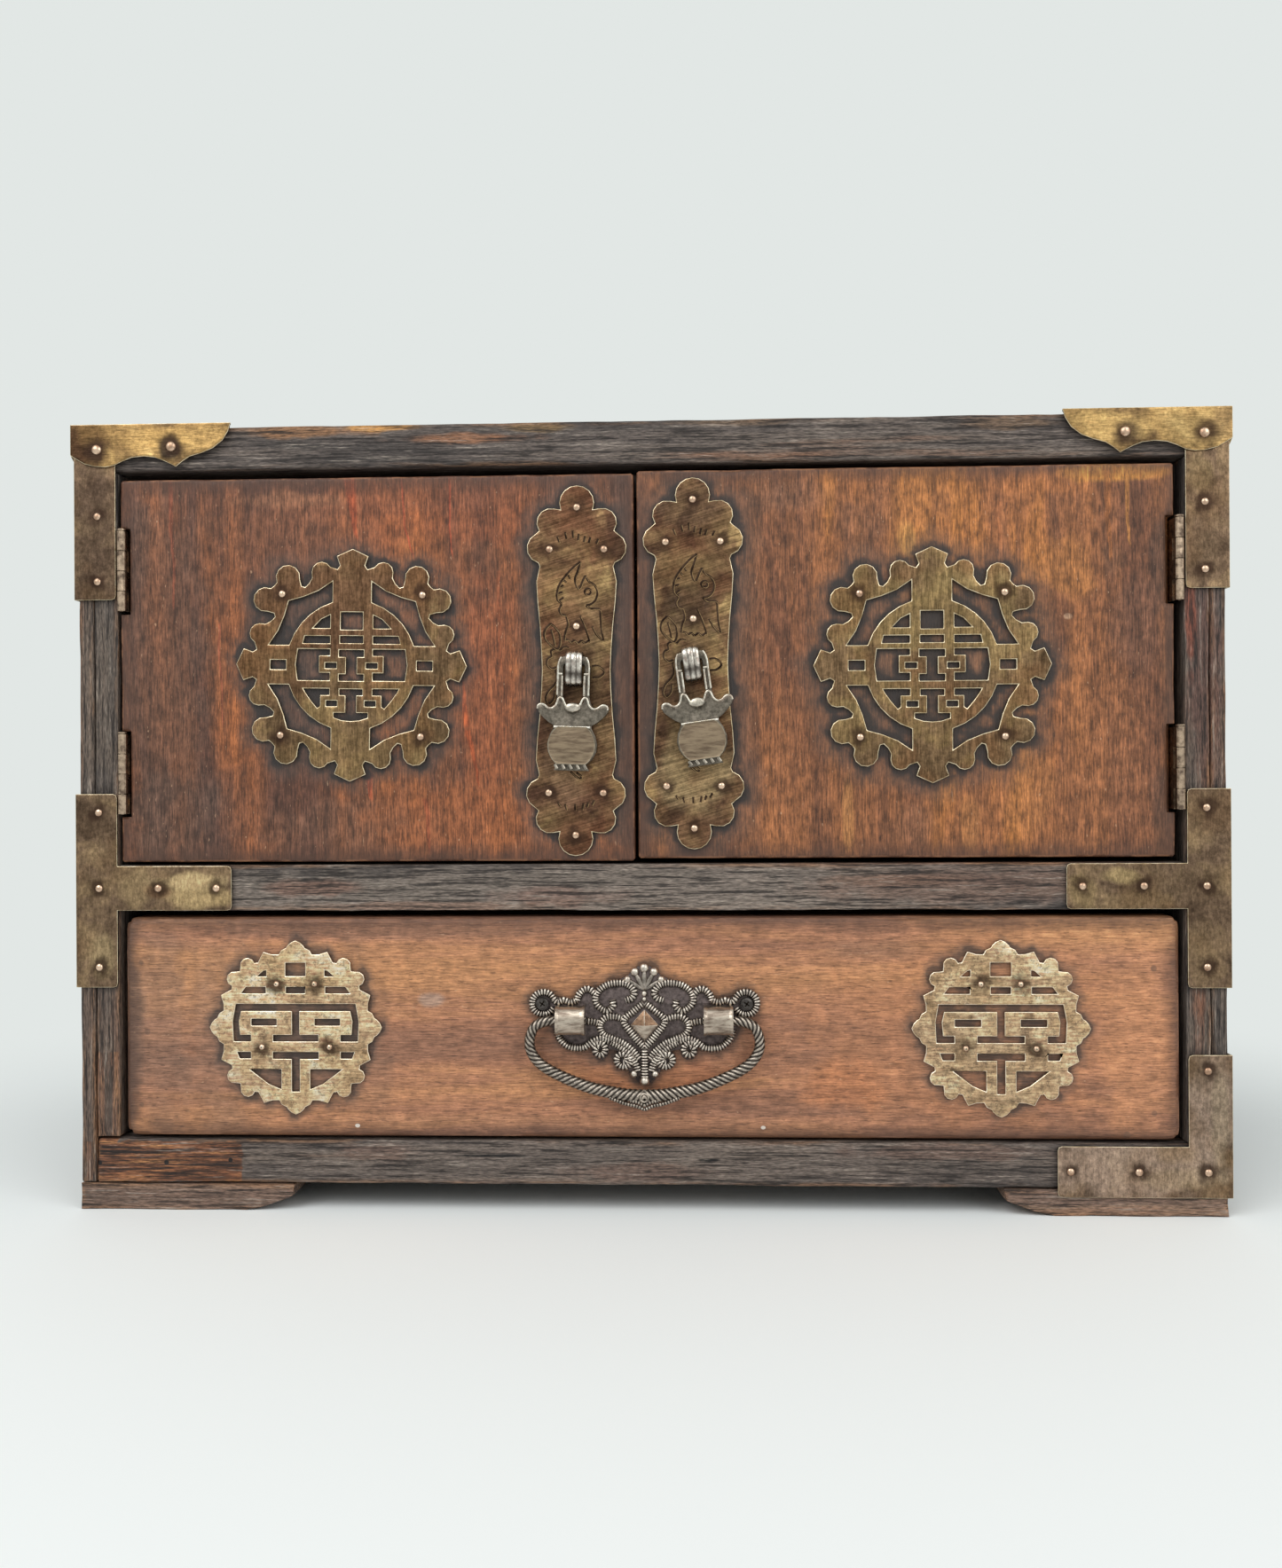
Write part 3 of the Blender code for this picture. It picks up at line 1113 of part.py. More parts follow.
def main():
    """Builds the chest, closed."""
    make_box_boards()
    make_feet()
    make_straps()
    make_corner_caps()
    pivots = {}
    for side, sign in (("left", -1), ("right", 1)):
        axis_x = sign * (OPENING_X - HINGE_AXIS_IN)
        pivots[side] = add_empty(f"door_{side}_axis", (axis_x, HINGE_AXIS_Y, SHELF_TOP_Z))
        make_door(side, sign, pivots[side])
        make_hinges(side, sign, pivots[side])
        make_door_medallion(side, sign, pivots[side])
        make_pull(side, pivots[side])
    make_catch(pivots)
    slide = add_empty("drawer_slide", (0, FRONT, FLOOR_Z))
    drawer_front = make_drawer(slide)
    make_drawer_pull(slide, drawer_front)
    finish_pieces()


main()
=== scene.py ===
"""The looks of the tabletop chest: worn boards, aged brass, nails, castings and engraving over its solids.

Units are metres, in the frame of the solids: X runs across the front, Y from the front to the back and Z up
from the floor. Tables whose names end in MM are in millimetres.
"""

import json
import math

import bmesh
import bpy
from mathutils import Matrix, Vector, kdtree, noise
from mathutils.bvhtree import BVHTree


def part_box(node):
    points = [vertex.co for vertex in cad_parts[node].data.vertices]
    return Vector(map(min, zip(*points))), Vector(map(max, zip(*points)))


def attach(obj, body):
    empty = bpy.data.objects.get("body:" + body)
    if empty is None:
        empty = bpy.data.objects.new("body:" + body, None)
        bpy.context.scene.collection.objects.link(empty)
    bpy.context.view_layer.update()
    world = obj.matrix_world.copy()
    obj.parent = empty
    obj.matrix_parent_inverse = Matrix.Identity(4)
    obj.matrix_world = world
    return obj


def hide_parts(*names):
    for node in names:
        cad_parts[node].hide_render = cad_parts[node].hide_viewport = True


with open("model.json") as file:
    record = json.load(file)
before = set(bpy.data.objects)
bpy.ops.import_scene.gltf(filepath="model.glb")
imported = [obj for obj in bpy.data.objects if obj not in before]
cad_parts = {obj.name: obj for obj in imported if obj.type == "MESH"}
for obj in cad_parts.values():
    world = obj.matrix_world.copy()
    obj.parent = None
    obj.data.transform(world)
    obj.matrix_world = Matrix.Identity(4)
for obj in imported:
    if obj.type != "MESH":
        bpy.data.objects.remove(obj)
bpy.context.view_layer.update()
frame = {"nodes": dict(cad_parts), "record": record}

MM = 0.001
FRONT_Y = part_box("door_left")[0].y

# Camera, found from the corners of the front in the photograph, which is taken as 1445 by 1768 pixels
LONG_SIDE_PIXELS = 1768
FOCAL_PIXELS = 1500
CAMERA_PLACE = (0.0163, -0.5122, 0.1367)
CAMERA_YAW = math.radians(2.303)
CAMERA_PITCH = math.radians(0.019)
CAMERA_ROLL = math.radians(-0.317)
SENSOR = 36.0

# Stage and light. The floor fades into the surroundings from some way beside, behind and before the chest.
FLOOR_REACH = 6.0
FLOOR_FADE_FROM = (0.22, 0.02, 0.34)
FLOOR_FADE = (0.00, 0.32)
FLOOR_COLOUR = "f2f5f5"
SKY_COLOUR = "e2e7e5"
SKY_LIGHT = 0.70
LAMPS = (
    ("key", (-0.75, -1.05, 1.25), 1.2, 14.0),
    ("fill", (1.00, -1.05, 1.00), 1.2, 8.5),
)
LAMP_AIM = Vector((0, 0, 0.10))
TOWARD_VIEWER = (0, -1, 0)

# Worn surfaces
WELD = 1e-6
FLAT_ANGLE = math.radians(1)
EDGE_ANGLE = math.radians(40)
CREASE_ANGLE = math.radians(50)
END_SLICES_MM = (0.5, 1.2, 2.2, 4.0)
EDGE_FADE = 0.0016
FARTHEST = 0.05
DOOR_CORNER = 0.0008
DRAWER_CORNER = 0.0034
RIDGE_STRETCH = 0.05
RIDGE_WAVES = ((620, 0.5), (1400, 0.3))
RIDGE_BASE = 0.6
RUB_WAVES = ((55, 0.25, 1.0), (190, 0.0, 0.6))

# Boards by kind: body, finish, slot, axis of the grain, size of the cells, and depths of ridges and chips
BOARD_KINDS = {
    "rail": ("carcass", "rail", "dark_wood", 0, (0.005, 0.010, 0.0011), 0.00013, 0.0006),
    "panel": ("carcass", "stile", "dark_wood", 2, (0.0011, 0.008, 0.005), 0.00012, 0.0005),
    "stile": ("carcass", "stile", "dark_wood", 2, (0.0011, 0.010, 0.005), 0.00012, 0.0005),
    "foot": ("carcass", "foot", "dark_wood", 0, (0.004, 0.004, 0.0012), 0.00010, 0.0006),
    "left_door": ("left_door", "left_door", "red_wood", 2, (0.0018, 0.004, 0.0018), 0.00004, 0.0005),
    "right_door": ("right_door", "right_door", "red_wood", 2, (0.0018, 0.004, 0.0018), 0.00004, 0.0005),
    "drawer_front": ("drawer", "drawer", "red_wood", 0, (0.0020, 0.004, 0.0018), 0.00004, 0.0008),
    "drawer_back": ("drawer", "raw_x", "raw_wood", 0, (0.012, None, 0.006), 0.00005, 0.0003),
    "drawer_bottom": ("drawer", "raw_x", "raw_wood", 0, (0.012, 0.012, None), 0.00005, 0.0),
    "back_panel": ("carcass", "raw_x", "raw_wood", 0, (0.012, None, 0.010), 0.00005, 0.0),
    "drawer_side": ("drawer", "raw_y", "raw_wood", 1, (None, 0.010, 0.006), 0.00005, 0.0003),
    "drawer_guide": ("carcass", "raw_y", "raw_wood", 1, (None, 0.012, 0.004), 0.00005, 0.0),
}
CORNER_METAL = (
    "strap_left", "strap_right", "tee_bracket_left", "tee_bracket_right", "elbow_bracket_right",
    "corner_cap_left", "corner_cap_right",
)

# Noise by name: how far it is drawn out along the grain, its scale, detail, roughness and distortion
GRAINS = {
    "board_tone": (0.06, 90, 4, 0.6, 0.0),
    "board_lines": (0.045, 1250, 4, 0.7, 0.2),
    "board_fibres": (0.14, 3000, 2, 0.6, 0.0),
    "board_bare": (0.04, 700, 4, 0.7, 0.0),
    "board_rub": (0.12, 150, 4, 0.65, 0.0),
    "door_tone": (0.10, 48, 5, 0.6, 0.4),
    "door_mottle": (0.8, 260, 5, 0.7, 0.0),
    "door_bands": (0.02, 480, 3, 0.6, 0.0),
    "door_fibres": (0.09, 1900, 3, 0.7, 0.0),
    "door_pores": (0.13, 2600, 1, 0.5, 0.0),
    "door_flecks": (0.3, 1500, 1, 0.5, 0.0),
    "door_rub": (1.0, 210, 3, 0.5, 0.0),
    "door_waves": (1.0, 150, 3, 0.5, 0.0),
    "raw_tone": (0.10, 60, 4, 0.6, 0.3),
    "raw_fibres": (0.05, 1200, 4, 0.65, 0.0),
    "brass_tone": (1.0, 70, 5, 0.62, 0.5),
    "brass_stain": (1.0, 34, 3, 0.6, 0.0),
    "brass_grit": (1.0, 800, 4, 0.7, 0.0),
    "brass_speckle": (1.0, 900, 4, 0.7, 0.0),
    "brass_dents": (1.0, 240, 3, 0.5, 0.0),
    "cast_tone": (1.0, 700, 4, 0.65, 0.0),
    "plastic_tone": (1.0, 220, 3, 0.5, 0.0),
    "streak_wander": (0.0, 70, 3, 0.5, 0.0),
}
BRUSHING = (1900, 3, 0.65, 0.0)
WIDE_BRUSHING = (420, 3, 0.6, 0.0)

# How ragged the edges of patches, stains, wear and painted shade are: reach, and scale of the noise
PATCH_WANDER = (0.35, 90)
BOX_WANDER = (0.0006, 260)
PAINTED_SHADE_WANDER = (0.0016, 150)
DIM_WANDER = (0.0012, 120)
STAIN_WANDER = (0.0014, 260)
STREAK_WANDER = 0.0007
BOX_FADE = 0.0007

# How far wear, darkening towards the edges, stains round the nails and painted shade round the metal reach
# from an edge or from metal, and how deep the finest relief is
BOARD_RUB = (0.0003, 0.0020)
BOARD_PAINTED_SHADE = (0.0002, 0.0030)
DOOR_DIM = (0.0004, 0.0070)
DOOR_RUB = (0.0002, 0.0010)
RAW_DIM = (0.0, 0.0025)
STAIN_FROM = 0.0012
LEFT_DOOR_PAINTED_SHADE = 0.0065
RIGHT_DOOR_PAINTED_SHADE = 0.0090
DRAWER_PAINTED_SHADE = 0.0034
SHEET_GRIME = 0.0045
CAP_GRIME = 0.0060
FRET_GRIME = 0.0042
BOARD_GROOVES = 0.0006
BOARD_FIBRES = 0.00015
DOOR_FIBRES = 0.00025
DOOR_WAVES = 0.0003
RAW_FIBRES = 0.0002
BRUSH_DEPTH = 0.00008
METAL_DENTS = 0.0001
METAL_CLOUDS = 0.00006

# Patches fade behind the front, and are softer or sharper at their edges
PATCH_DEPTH = 0.014
PATCH_SOFTNESS = 0.45
SPOT_SOFTNESS = 0.3
HOLE_SOFTNESS = 0.2
SPOT_REACH_MM = (1.0, 1.0)
CHIP_REACH_MM = (0.8, 0.6)
HOLE_REACH_MM = (0.8, 0.8)

# Sheets: thickness, rounded corners of the brackets, cells, rolled rims, and how the caps lie over the rest
SHEET_THICKNESS = 0.0009
CORNER_DEPTH_SLACK = 0.0001
ARM_FROM = 0.160
ARM_CORNER = 0.0021
LEG_CORNER = 0.0009
CORNER_CELLS = (0.0018, 0.003, 0.0018)
FRET_CELLS = (0.0015, None, 0.0015)
PLATE_CELLS = (0.0018, None, 0.0018)
CAP_RIM = 0.00014
BRACKET_RIM = 0.00012
BRASS_RIM = 0.00024
PALE_RIM = 0.00020
CAP_OVER_SHEET = 0.0008
CAP_TOP_NAIL_IN = 0.012
NAIL_FACE_IN = 0.0005

# Nail heads
NAIL_DOME_SHARE = 0.62
NAIL_SINK = 0.0001
CAP_NAIL_RADIUS = 0.0017
BRACKET_NAIL_RADIUS = 0.00125
DOOR_NAIL_RADIUS = 0.0012
DRAWER_NAIL_RADIUS = 0.00095

# What each nailed sheet holds, as X and Z in millimetres on the front
CAP_NAILS_MM = ((176.0, 245.7), (151.6, 246.4))
STRAP_NAILS_MM = ((176.3, 203.2), (176.3, 224.3))
TEE_NAILS_MM = ((176.3, 78.5), (176.3, 128.5), (176.3, 104.0), (156.9, 104.0), (137.9, 104.0))
ELBOW_NAILS_MM = ((176.3, 46.0), (176.3, 14.2), (154.9, 14.2), (133.7, 14.2))
DOOR_FRET_NAILS_MM = ((-22.7, -22.7), (22.7, -22.7), (-22.7, 22.7), (22.7, 22.7))
DRAWER_FRET_NAILS_MM = ((-6.2, 14.0), (6.2, 14.0), (-11.0, -6.3), (11.0, -6.3))
PLATE_NAILS_MM = (
    (0, 52.1), (-8.7, 38.7), (8.7, 38.7), (0, 14.2), (-8.7, -38.9), (8.7, -38.9), (0, -52.4),
)
FLANK_NAIL_IN = 0.0076
MEDALLION_TURNS = {"left": math.radians(-1.1), "right": 0.0}
PLATE_TURNS = {"left": math.radians(-0.45), "right": 0.0}

# Small nails and chips in the drawer's front, and the nail holes of the lost bracket
DRAWER_SPOTS_MM = ((-163, 80), (-161, 57.5), (-163, 34), (160, 78), (160, 32.5), (151.5, 25.5))
DRAWER_CHIPS_MM = ((-92.5, 27.5), (37.5, 27.5))
LOST_NAILS_MM = ((-177, 15.0), (-155, 15.3), (-134, 16.2))
LOST_ELBOW_MM = ((-184, -130, 9.0, 22.3), (-179, -170.3, 9.0, 51))

# Patches of colour: centre X and Z, reach X and Z, all in millimetres, then strength and colour
# On the left door, the dark strips at X -8, -35 and -37 along the sides of the pull plate and the patch at X
# -93.5 under the medallion are painted shade.
LEFT_DOOR_PATCHES_MM = (
    (-66, 226, 44, 14, 0.35, "86482c"), (-163, 216, 4, 14, 0.40, "4a3a32"),
    (-133, 130, 10, 14, 0.35, "5b4036"), (-40, 150, 5, 22, 0.40, "6a4634"),
    (-156, 175, 17, 66, 0.50, "5a4236"), (-151, 128, 18, 17, 0.55, "503e35"),
    (-8, 175, 6, 70, 0.70, "433630"), (-35, 172, 5, 50, 0.45, "47362d"),
    (-93.5, 175, 27, 27, 0.45, "5e4a40"), (-3.2, 178, 1.0, 50, 0.60, "8e5a40"),
    (-37, 172, 4, 60, 0.40, "4b362c"), (-87, 230, 80, 6, 0.25, "6a4536"),
    (-50, 168, 10, 40, 0.60, "8e5031"), (-111, 216, 24, 15, 0.45, "85543a"),
    (-90, 123, 32, 10, 0.40, "6a4c3c"), (-60, 126, 26, 12, 0.55, "9b5a34"),
    (-21, 225, 14, 8, 0.30, "6d4a3a"), (-117, 229, 19, 3, 0.35, "99694c"),
)
# On the right door, the dark strips at X 4, 31 and 34 along the sides of the pull plate and the patch at X 91
# under the medallion are painted shade.
RIGHT_DOOR_PATCHES_MM = (
    (69, 218, 7, 9, 0.40, "6c4a38"), (50, 228, 12, 5, 0.30, "70503f"), (163, 204, 4, 14, 0.50, "4a3a32"),
    (163, 130, 4, 14, 0.50, "4a3a32"), (148, 206, 5, 6, 0.30, "70503c"), (4, 160, 6, 60, 0.65, "463a34"),
    (91, 174, 27, 27, 0.40, "66503f"), (31, 174, 4, 58, 0.25, "5a4236"), (2, 215, 5, 26, 0.40, "80543e"),
    (168, 175, 5, 66, 0.40, "5a4232"), (34, 175, 5, 60, 0.35, "6b4a38"), (148, 234, 17, 3, 0.90, "c9883f"),
    (126, 231, 15, 4, 0.40, "ab6a3a"), (84, 214, 3, 5, 0.70, "b98445"), (133, 204, 10, 10, 0.45, "b0733c"),
    (134, 189, 1.4, 1, 0.70, "c8a080"), (65, 126, 2, 12, 0.50, "b07a46"),
    (103, 124, 3.4, 11, 0.40, "ad7442"), (122, 132, 8, 14, 0.45, "a56c3f"),
    (156, 187, 9, 17, 0.45, "6b4a3a"), (151, 140, 12, 25, 0.30, "8f5c3f"), (83, 224, 17, 9, 0.25, "7a523d"),
    (136, 165, 5, 22, 0.35, "a0663d"), (40, 228, 10, 6, 0.40, "74503c"), (85, 123, 8, 8, 0.30, "7c5640"),
)
# On the drawer, the patches centred at X -112 and 112 under the two medallions are painted shade in their
# openings and round them.
DRAWER_PATCHES_MM = (
    (-112, 59, 27, 27, 0.55, "6a5446"), (112, 59, 26, 26, 0.35, "7a5c48"), (0, 56, 34, 18, 0.25, "86604a"),
    (-112, 59, 22, 22, 0.45, "54453d"), (112, 59, 22, 22, 0.50, "5e4c40"),
    (-168, 59, 6, 44, 0.75, "4c3c33"), (-157, 59, 12, 36, 0.55, "7a5d4d"),
    (-134, 56, 16, 34, 0.45, "7c5f4e"), (-79, 90, 55, 3, 0.40, "7d5d4c"), (106, 56, 62, 31, 0.40, "b77c55"),
    (154, 58, 12, 32, 0.50, "c2875f"), (63, 41, 13, 8, 0.40, "b8744a"), (73, 84, 15, 3.5, 0.40, "8a6650"),
    (-23, 29, 99, 2.4, 0.30, "b0805f"), (-68, 68, 5, 2.4, 0.50, "a9968a"), (1, 43, 25, 7, 0.40, "9a5c42"),
    (-90, 42, 9, 11, 0.30, "86644f"), (88, 56, 5.5, 17, 0.30, "8a6650"),
)
RAIL_PATCHES_MM = (
    (-20, 102, 150, 10, 0.45, "94867a"), (0, 17, 150, 9, 0.22, "8c7c70"),
    (-108, 251, 22, 2.1, 0.60, "9a6a40"), (-85, 252, 13, 1.4, 0.90, "c28c4e"),
    (-56, 248, 21, 1.8, 0.50, "a3683e"), (-33, 251, 13, 1.6, 0.50, "8a6a3c"),
    (30, 252, 20, 1.5, 0.40, "7a5f45"), (115, 250, 15, 1.9, 0.50, "7d6046"),
    (-105, 104, 17, 2.9, 0.40, "7a4a36"), (-27, 101, 20, 3.4, 0.40, "70483a"),
    (77, 106, 28, 2.2, 0.35, "7d5a44"), (-73, 98, 37, 1.6, 0.35, "8a5c42"),
    (-2, 13, 23, 3.4, 0.35, "6e4a3c"), (96, 20, 33, 2.6, 0.35, "714e40"),
    (-85, 19, 14, 2.8, 0.40, "6f4f42"), (-52, 18, 13, 0.5, 1.00, "14100f"),
    (20, 17, 4, 0.5, 1.00, "14100f"), (100, 104, 50, 6.0, 0.45, "6d4a3a"),
)
STILE_PATCHES_MM = (
    (174, 75, 3, 12, 0.40, "7c4f38"), (-176, 60, 4, 22, 0.30, "6e5342"), (-181, 60, 2, 60, 0.30, "6c5040"),
    (177, 170, 6, 34, 0.60, "5c3a31"), (-176, 172, 6, 34, 0.30, "6a5a4c"),
    (172, 186, 1.6, 16, 0.60, "8a4630"),
)
# The bright patches along the caps' upper part, at X -156, -140 and 147, are painted highlights.
CAP_PATCHES_MM = (
    (-156, 249, 14, 4.0, 0.60, "c9a266"), (-140, 249, 9, 4.0, 0.60, "c9a56a"),
    (147, 248, 13, 5, 0.70, "cfac70"), (173, 246, 11, 6, 0.50, "86704a"), (182, 250, 5, 9, 0.50, "826a4c"),
    (152, 246, 4.4, 4.4, 0.60, "57483a"), (-186, 249, 15, 16, 1.00, "4c3728"),
    (-177, 246, 4, 4, 0.70, "30241d"), (-152, 246, 4.2, 4.6, 0.90, "332c28"),
)
# The bright golden patches along the tees' arms, at X -146, -143, 138 and 150, are painted highlights.
BRACKET_PATCHES_MM = (
    (-178, 222, 8, 26, 0.80, "564539"), (-178, 200, 8, 6, 0.70, "46372d"), (175, 233, 5, 7, 0.60, "8a7454"),
    (177, 208, 5, 9, 0.50, "6a5744"), (-177, 125, 6, 9, 0.40, "63503f"), (-175, 82, 4, 8, 0.70, "a08a68"),
    (-164, 103, 5, 7, 0.60, "9c8462"), (-146, 106, 12, 3.2, 0.80, "d4b88a"),
    (-143, 101, 12, 4, 0.70, "c4a87a"), (-157, 103, 5, 2.4, 0.50, "7a5a42"),
    (138, 103, 5, 6.6, 0.50, "a28a62"), (150, 107, 7, 2.8, 0.60, "b0986c"),
    (171, 104, 12, 7, 0.50, "5e4c3b"), (156, 100, 10, 3.4, 0.50, "8a7254"),
    (176, 83, 7, 10, 0.50, "7b654d"), (177, 37, 9, 24, 0.75, "998474"), (150, 16, 30, 12, 0.70, "b09886"),
    (168, 12, 15, 3.7, 0.30, "b8a280"), (166, 20, 7, 3.4, 0.40, "a48a6c"), (180, 29, 3, 19, 0.40, "a8967c"),
)
MEDALLION_PATCHES_MM = (
    (-94, 196, 40, 20, 0.85, "674b38"), (-118, 176, 16, 12, 0.65, "664935"),
    (-94, 146, 30, 10, 0.40, "846c4a"), (92, 190, 30, 12, 0.40, "8d7850"),
)
FRET_PATCHES_MM = (
    (110, 40, 24, 12, 0.60, "a98c6c"), (104, 62, 20, 14, 0.35, "b39a7c"), (-112, 78, 24, 8, 0.30, "c0a070"),
)
PLATE_PATCHES_MM = (
    (-21, 171, 9, 17, 0.60, "46352b"), (16, 186, 9, 14, 0.50, "4c4034"), (15, 171, 8, 12, 0.40, "4a3b30"),
    (-21, 214, 14, 6, 0.45, "5e4032"), (-21, 134, 14, 6, 0.45, "66463a"), (-23, 197, 10, 8, 0.45, "a4865a"),
    (14, 205, 12, 7, 0.45, "8c7450"), (16, 140, 12, 14, 0.70, "a68e6a"), (-21, 225, 12, 7, 0.60, "684736"),
    (-21, 120, 12, 7, 0.60, "6c4a38"), (-21, 190, 9, 10, 0.45, "94785a"), (-25, 140, 8, 12, 0.45, "8b6e55"),
    (16, 225, 12, 7, 0.50, "5e4a3a"), (16, 121, 12, 7, 0.55, "7d5c46"), (16, 150, 9, 20, 0.40, "86704f"),
)

# Thin streaks down the doors: X and Z of the top, X and Z of the foot and the two half widths, all in
# millimetres, then strength and colour
LEFT_DOOR_STREAKS_MM = (
    (-94.8, 237, -91.7, 215, 2.6, 0.4, 0.80, "9c4a2c"), (-77.8, 236, -76.0, 218, 0.4, 0.4, 0.70, "9a482e"),
    (-76.2, 220, -73.7, 209, 0.4, 0.3, 0.70, "a3492e"), (-62.1, 236, -61.4, 209, 0.4, 0.3, 0.65, "a3492e"),
    (-57.8, 171, -56.5, 154, 0.3, 1.3, 0.80, "a5502c"), (-56.5, 155, -51.8, 135, 1.2, 0.3, 0.80, "a5502c"),
    (-153.0, 237, -151.5, 193, 0.9, 0.4, 0.50, "8f4a33"),
    (-136.7, 190, -135.7, 155, 0.5, 0.3, 0.50, "8f4a35"),
    (-87.8, 141, -87.0, 131, 1.4, 0.6, 0.70, "a04c2f"), (-69.8, 133, -68.7, 114, 1.1, 0.4, 0.50, "9c4c30"),
    (-46.5, 206, -45.0, 172, 0.7, 0.4, 0.40, "97502f"),
)
RIGHT_DOOR_STREAKS_MM = (
    (146, 236, 147, 205, 1.4, 0.6, 0.45, "b8703a"), (152, 236, 153, 210, 1.0, 0.4, 0.50, "c08040"),
    (131, 176, 130, 140, 2.4, 1.2, 0.35, "a9683a"), (112, 226, 113, 206, 1.4, 0.5, 0.30, "a4623a"),
)

# Engraving of a pull plate, from its middle: a crested bird over sprigs of flowers, and fans of short ticks
ENGRAVED_LINES_MM = (
    ((1.2, 34.8), (-1.1, 32.9), (-3.5, 30.3), (-5.4, 27.6), (-6.2, 25.1), (-6.1, 22.7), (-4.8, 21.3),
     (-5.5, 19.6), (-4.9, 18.1), (-3.3, 17.6)),
    ((1.2, 34.8), (0.4, 31.9), (-0.5, 28.9), (0.7, 26.1), (2.1, 28.9), (2.8, 30.3)),
    ((2.8, 30.3), (3.9, 28.5), (5.8, 27.2), (6.7, 25.1), (6.2, 22.7), (4.8, 21.3), (3.1, 20.8)),
    ((3.1, 20.8), (4.4, 19.8), (7.3, 19.6), (7.7, 17.0), (8.0, 13.2), (8.6, 9.7), (6.5, 11.5), (5.0, 14.1)),
    ((-3.3, 17.5), (-2.7, 14.9), (-3.5, 12.4), (-3.9, 9.8)),
    ((1.2, 17.5), (2.7, 14.1), (3.9, 10.7), (4.3, 9.0)),
    ((-8.3, 15.1), (-10.0, 13.2), (-10.2, 10.7), (-8.3, 8.3), (-6.2, 6.9), (-5.2, 9.0), (-5.5, 12.0),
     (-6.9, 13.9), (-8.3, 15.1)),
    ((-8.1, 13.2), (-7.4, 10.7), (-6.9, 8.1)),
    ((-2.4, 7.3), (-4.1, 7.7), (-5.2, 6.6), (-6.9, 6.9), (-8.1, 6.3), (-7.9, 4.7), (-9.2, 3.9), (-9.4, 2.0),
     (-7.9, 0.7), (-6.4, 1.2)),
    ((-6.6, 0.5), (-6.2, -2.5), (-7.1, -4.6), (-8.8, -6.3), (-9.8, -8.8), (-8.8, -10.5), (-7.2, -8.8),
     (-6.9, -6.3)),
    ((5.0, 1.4), (6.9, 1.5), (8.9, -0.3), (7.3, -2.0), (5.2, -2.2)),
    ((-1.8, -32.1), (0.7, -34.2), (1.8, -33.8), (0.1, -32.4)),
)
ENGRAVED_HEM_MM = (
    (-3.9, 9.8), (-2.7, 10.0), (-1.8, 9.0), (-0.7, 9.8), (0.4, 8.7), (1.6, 9.7), (2.7, 8.7), (3.9, 9.6),
    (4.3, 9.0),
)
ENGRAVED_TICKS_MM = (
    ((-5.4, 26.8), (-4.1, 27.2)), ((-5.8, 24.7), (-4.4, 25.1)), ((-5.4, 22.5), (-4.1, 23.4)),
    ((-2.7, 30.6), (-2.0, 29.3)), ((-4.1, 28.9), (-3.2, 28.1)), ((-6.2, 42.9), (-5.5, 41.0)),
    ((-3.7, 44.2), (-3.2, 42.0)), ((-1.3, 44.7), (-1.1, 42.4)), ((0.7, 43.6), (0.4, 41.6)),
    ((2.7, 42.9), (2.3, 41.0)), ((4.4, 42.5), (3.8, 40.7)), ((6.9, 42.0), (6.2, 40.5)),
    ((-5.8, -41.9), (-5.0, -43.1)), ((-3.5, -42.5), (-3.0, -44.2)), ((-0.3, -42.4), (-0.2, -44.4)),
    ((2.4, -42.2), (2.0, -44.1)), ((3.9, -41.9), (3.4, -43.4)), ((5.8, -41.2), (5.0, -42.7)),
)
ENGRAVED_EYE_MM = (3.6, 25.2, 1.0)
ENGRAVED_WIDTH = 0.00034
ENGRAVED_RISE = 0.00005
# A bright line beside each engraved line, set off to its lower right: a painted highlight on the lit wall of
# the groove.
GROOVE_HIGHLIGHT_WIDTH = 0.00012
GROOVE_HIGHLIGHT_RISE = 0.00010
GROOVE_HIGHLIGHT_ASIDE = Vector((0.00036, 0, -0.00034))
ENGRAVED_STEP = 0.0006
EYE_STEP = 0.45
EYE_STEPS = 15

# A door's cast pull, as X and Z in millimetres from its pivot: rims are thin raised lines
PULL_LOOP_RIM_MM = ((4.9, -11.2), (4.9, -4.4), (4.9, -2.4), (4.6, -0.6), (3.9, 0.8))
PULL_INNER_RIM_MM = ((3.5, -11.4), (3.5, -5.0))
PULL_SHOULDER_MM = ((4.9, -4.4), (3.4, -4.5))
PULL_BRIM_MM = (
    (0, -16.2), (1.6, -15.4), (2.6, -13.6), (3.2, -12.3), (3.9, -11.9), (4.6, -12.4), (5.2, -14.2),
    (6.4, -15.3), (7.8, -15.2), (9.0, -14.3), (10.0, -14.1), (10.9, -14.6), (11.1, -15.6),
)
PULL_BAR_MM = ((-5.8, -21.2), (5.8, -21.2))
PULL_CUP_MM = (0, -15.0, 2.5, 1.5)
PULL_POT_MM = (0, -27.0, 7.6, 6.0)
PULL_TEETH_MM = (-4.6, -2.3, 0, 2.3, 4.6)
PULL_TOOTH_MM = ((-0.5, -33.0), (0.3, -34.4))
PULL_EDGE = 0.00022
PULL_RIM = 0.00034
PULL_BAR_RADIUS = 0.00040
PULL_TOOTH_RADIUS = 0.00050
PULL_CUP_RISE = 0.0007
PULL_RIM_STEP = 0.0005
PULL_BRIM_STEP = 0.0004

# The rings of a pull's pot: share of its radius, and rise in millimetres
POT_RINGS = ((1.00, 0.00), (0.985, 0.38), (0.955, 0.40), (0.93, 0.30), (0.80, 0.42), (0.4, 0.60))

# A pull's hook
HOOK_HALF_WIDTH = 0.0026
HOOK_OUTER_RADIUS = 0.0029
HOOK_DROP = 0.0052
HOOK_SEAT = 0.0023
HOOK_BULGE = 0.0003
HOOK_GROOVE = 0.00016
HOOK_THICKNESS = 0.0009
HOOK_LEG = 0.001
HOOK_STEPS = 12

